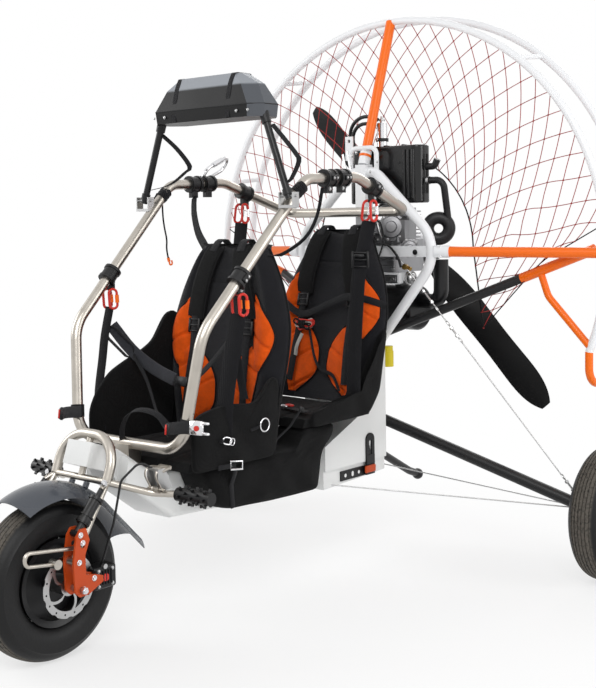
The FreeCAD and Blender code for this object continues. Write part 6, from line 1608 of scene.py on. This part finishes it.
def foot_bracket():
    """The washers and bolts that hold the cage on the keel's head, and a band above each."""
    piece = Piece()
    low, high = corners("cage_mounts")
    for side in (1, -1):
        outside = high.x + 0.0015 if side > 0 else low.x - 0.0015
        spot = Vector((outside, (low.y + high.y) / 2, (low.z + high.z) / 2 - 0.014))
        piece.turned([(0, 0.010), (0.002, 0.010), (0.002, 0)], spot, (side, 0, 0), 0, 24)
        piece.bolt(spot, (side, 0, 0), 0.0055)
        band(piece, at(side * 0.2194, 0.2933, 0.600), front_tube_way(side), 0.0126, 0.0016, 1, 0.0012)
    piece.made("foot_bracket", "frame", "bolt_steel", PLAIN_STEEL, BLACK_PLASTIC, bend=40)


fork_hardware()
caliper_details()
pedal_details()
foot_bracket()


# %% [markdown]
# Small things are sewn to the side bag and the seats: a ring, two hooks, a buckle, an elastic cord
# held straight between two loops, a coil of rope tied on the rear seat, and a strap with two rings
# across its pan. They are what keeps so much black cloth from looking empty.
# %% Trim on the cloth
RING = [(0.2275, 0.570 + 0.018 * math.cos(turn), 0.531 + 0.018 * math.sin(turn))
        for turn in [math.radians(19 * i) for i in range(19)]]
RING_TAB = [(0.2255, 0.556, 0.529), (0.2195, 0.522, 0.522)]
BUCKLE = [(0.2215, 0.438, 0.452), (0.2215, 0.483, 0.446), (0.2215, 0.484, 0.424), (0.2215, 0.438, 0.430)]
BUCKLE_STRAP = [(0.2195, 0.395, 0.441), (0.2215, 0.459, 0.438)]
BUCKLE_TAIL = [(0.2215, 0.461, 0.430), (0.199, 0.464, 0.380), (0.198, 0.470, 0.318)]
ELASTIC = [(0.204, 0.640, 0.476), (0.205, 0.700, 0.505), (0.206, 0.748, 0.548)]


def bag_trim():
    piece = Piece()
    for side in (1, -1):
        piece.tube(spots(RING, side), 0.0024, 0, 8, loop=True)
        piece.strap(spots(RING_TAB, side), 0.008, Vector((0, 0, 1)), 1, 0.003)
        for y, z, lean in ((0.424, 0.509, 0.3), (0.443, 0.504, -0.3)):
            hook = oval(at(side * 0.2255, y, z), (lean, 0.9, -0.25), (0, 0.25, 0.9), 0.026, 0.018, 22)
            piece.tube(hook, 0.0022, 0, 8, loop=True)
        piece.slab(at(side * 0.2255, 0.404, 0.510), (0.008, 0.014, 0.010), 1, edge=0.3)
        piece.tube(spots(BUCKLE, side), 0.0030, 0, 8, loop=True)
        piece.strap(spots(BUCKLE_STRAP, side), 0.013, Vector((0, 0.1, 1)), 1, 0.003)
        piece.strap(spots(BUCKLE_TAIL, side), 0.017, Vector((0, 1, 0)), 1, 0.0024)
        piece.tube(spots(ELASTIC, side), 0.0028, 1, 8)
        piece.slab(at(side * 0.204, 0.638, 0.474), (0.008, 0.012, 0.010), 2, edge=0.3)
        piece.slab(at(side * 0.206, 0.750, 0.549), (0.008, 0.020, 0.014), 2, (1, 0, 0), (0, 0.5, 1), 0.3)
    piece.made("bag_trim", "frame", "webbing", BRIGHT_STEEL, WEBBING, BLACK_PLASTIC, bend=50)


# Straps on the rear seat: places as (across, up, proud), spacing, width, flat side, finish, thickness.
ROPE_TAIL = [(-0.075, 0.200, 0.028), (-0.088, 0.160, 0.030), (-0.096, 0.130, 0.022)]
LONG_TAIL = [(-0.050, 0.215, 0.026), (-0.020, 0.130, 0.022), (0.012, 0.092, 0.022), (0.062, 0.075, 0.020),
             (0.092, 0.030, 0.014)]
SEAT_BELT = [(-0.203, 0.318, 0.004), (-0.160, 0.300, 0.018), (-0.080, 0.262, 0.030), (0.020, 0.300, 0.030),
             (0.090, 0.322, 0.034), (0.165, 0.316, 0.020), (0.203, 0.306, 0.004)]
SEAT_STRAPS = [(ROPE_TAIL, 0.01, 0.014, (1, 0, 0), 1, 0.003),
               (LONG_TAIL, 0.01, 0.012, (0.3, 0, 1), 2, 0.0025),
               (SEAT_BELT, 0.012, 0.022, REAR_SEAT.up, 2, 0.003)]
PAN_STRAP = [(-0.190, 0.800, 0.531), (-0.090, 0.835, 0.531), (0.050, 0.842, 0.530), (0.185, 0.800, 0.531)]


def seat_trim():
    piece = Piece()
    seat = REAR_SEAT
    for turn in range(7):
        three, two = turn % 3, turn % 2
        centre = seat.face(-0.070 + 0.005 * three, 0.228 + 0.004 * two, 0.026 + 0.003 * turn)
        lean = Vector((0.9, 0, -0.12 * turn)) + seat.up * (0.35 + 0.1 * three)
        loop = oval(centre, lean, lean.cross(seat.back), 0.062 - 0.004 * two, 0.014 + 0.003 * three, 24)
        piece.tube(loop, 0.0028, (0, 1, 4)[three], 8, loop=True)
    for step in (-0.008, 0.0, 0.008):
        band(piece, seat.face(-0.066 + step, 0.229, 0.036), (1, 0, 0), 0.0125, 0.006, 0, 0.002)
    for places, spacing, width, flat, finish, thick in SEAT_STRAPS:
        line = flowing([seat.face(*place) for place in places], spacing)
        piece.strap(line, width, Vector(flat), finish, thick)
    for x in (-0.030, 0.060):
        centre = at(x, 0.842, 0.532)
        piece.tube(oval(centre, (1, 0.2, 0), (0, 1, 0), 0.036, 0.020, 24), 0.0030, 3, 8, loop=True)
        second = oval(centre + Vector((0.018, 0.006, 0.003)), (1, -0.4, 0), (0.4, 1, 0), 0.030, 0.017, 24)
        piece.tube(second, 0.0026, 4, 8, loop=True)
    piece.strap(flowing(spots(PAN_STRAP), 0.015), 0.024, Vector((0, 1, 0)), 2, 0.003)
    piece.made("seat_trim", "frame", "webbing",
               BLACK_CORD, WHITE_CORD, WEBBING, BRIGHT_STEEL, RED_PAINT, bend=50)


bag_trim()
seat_trim()
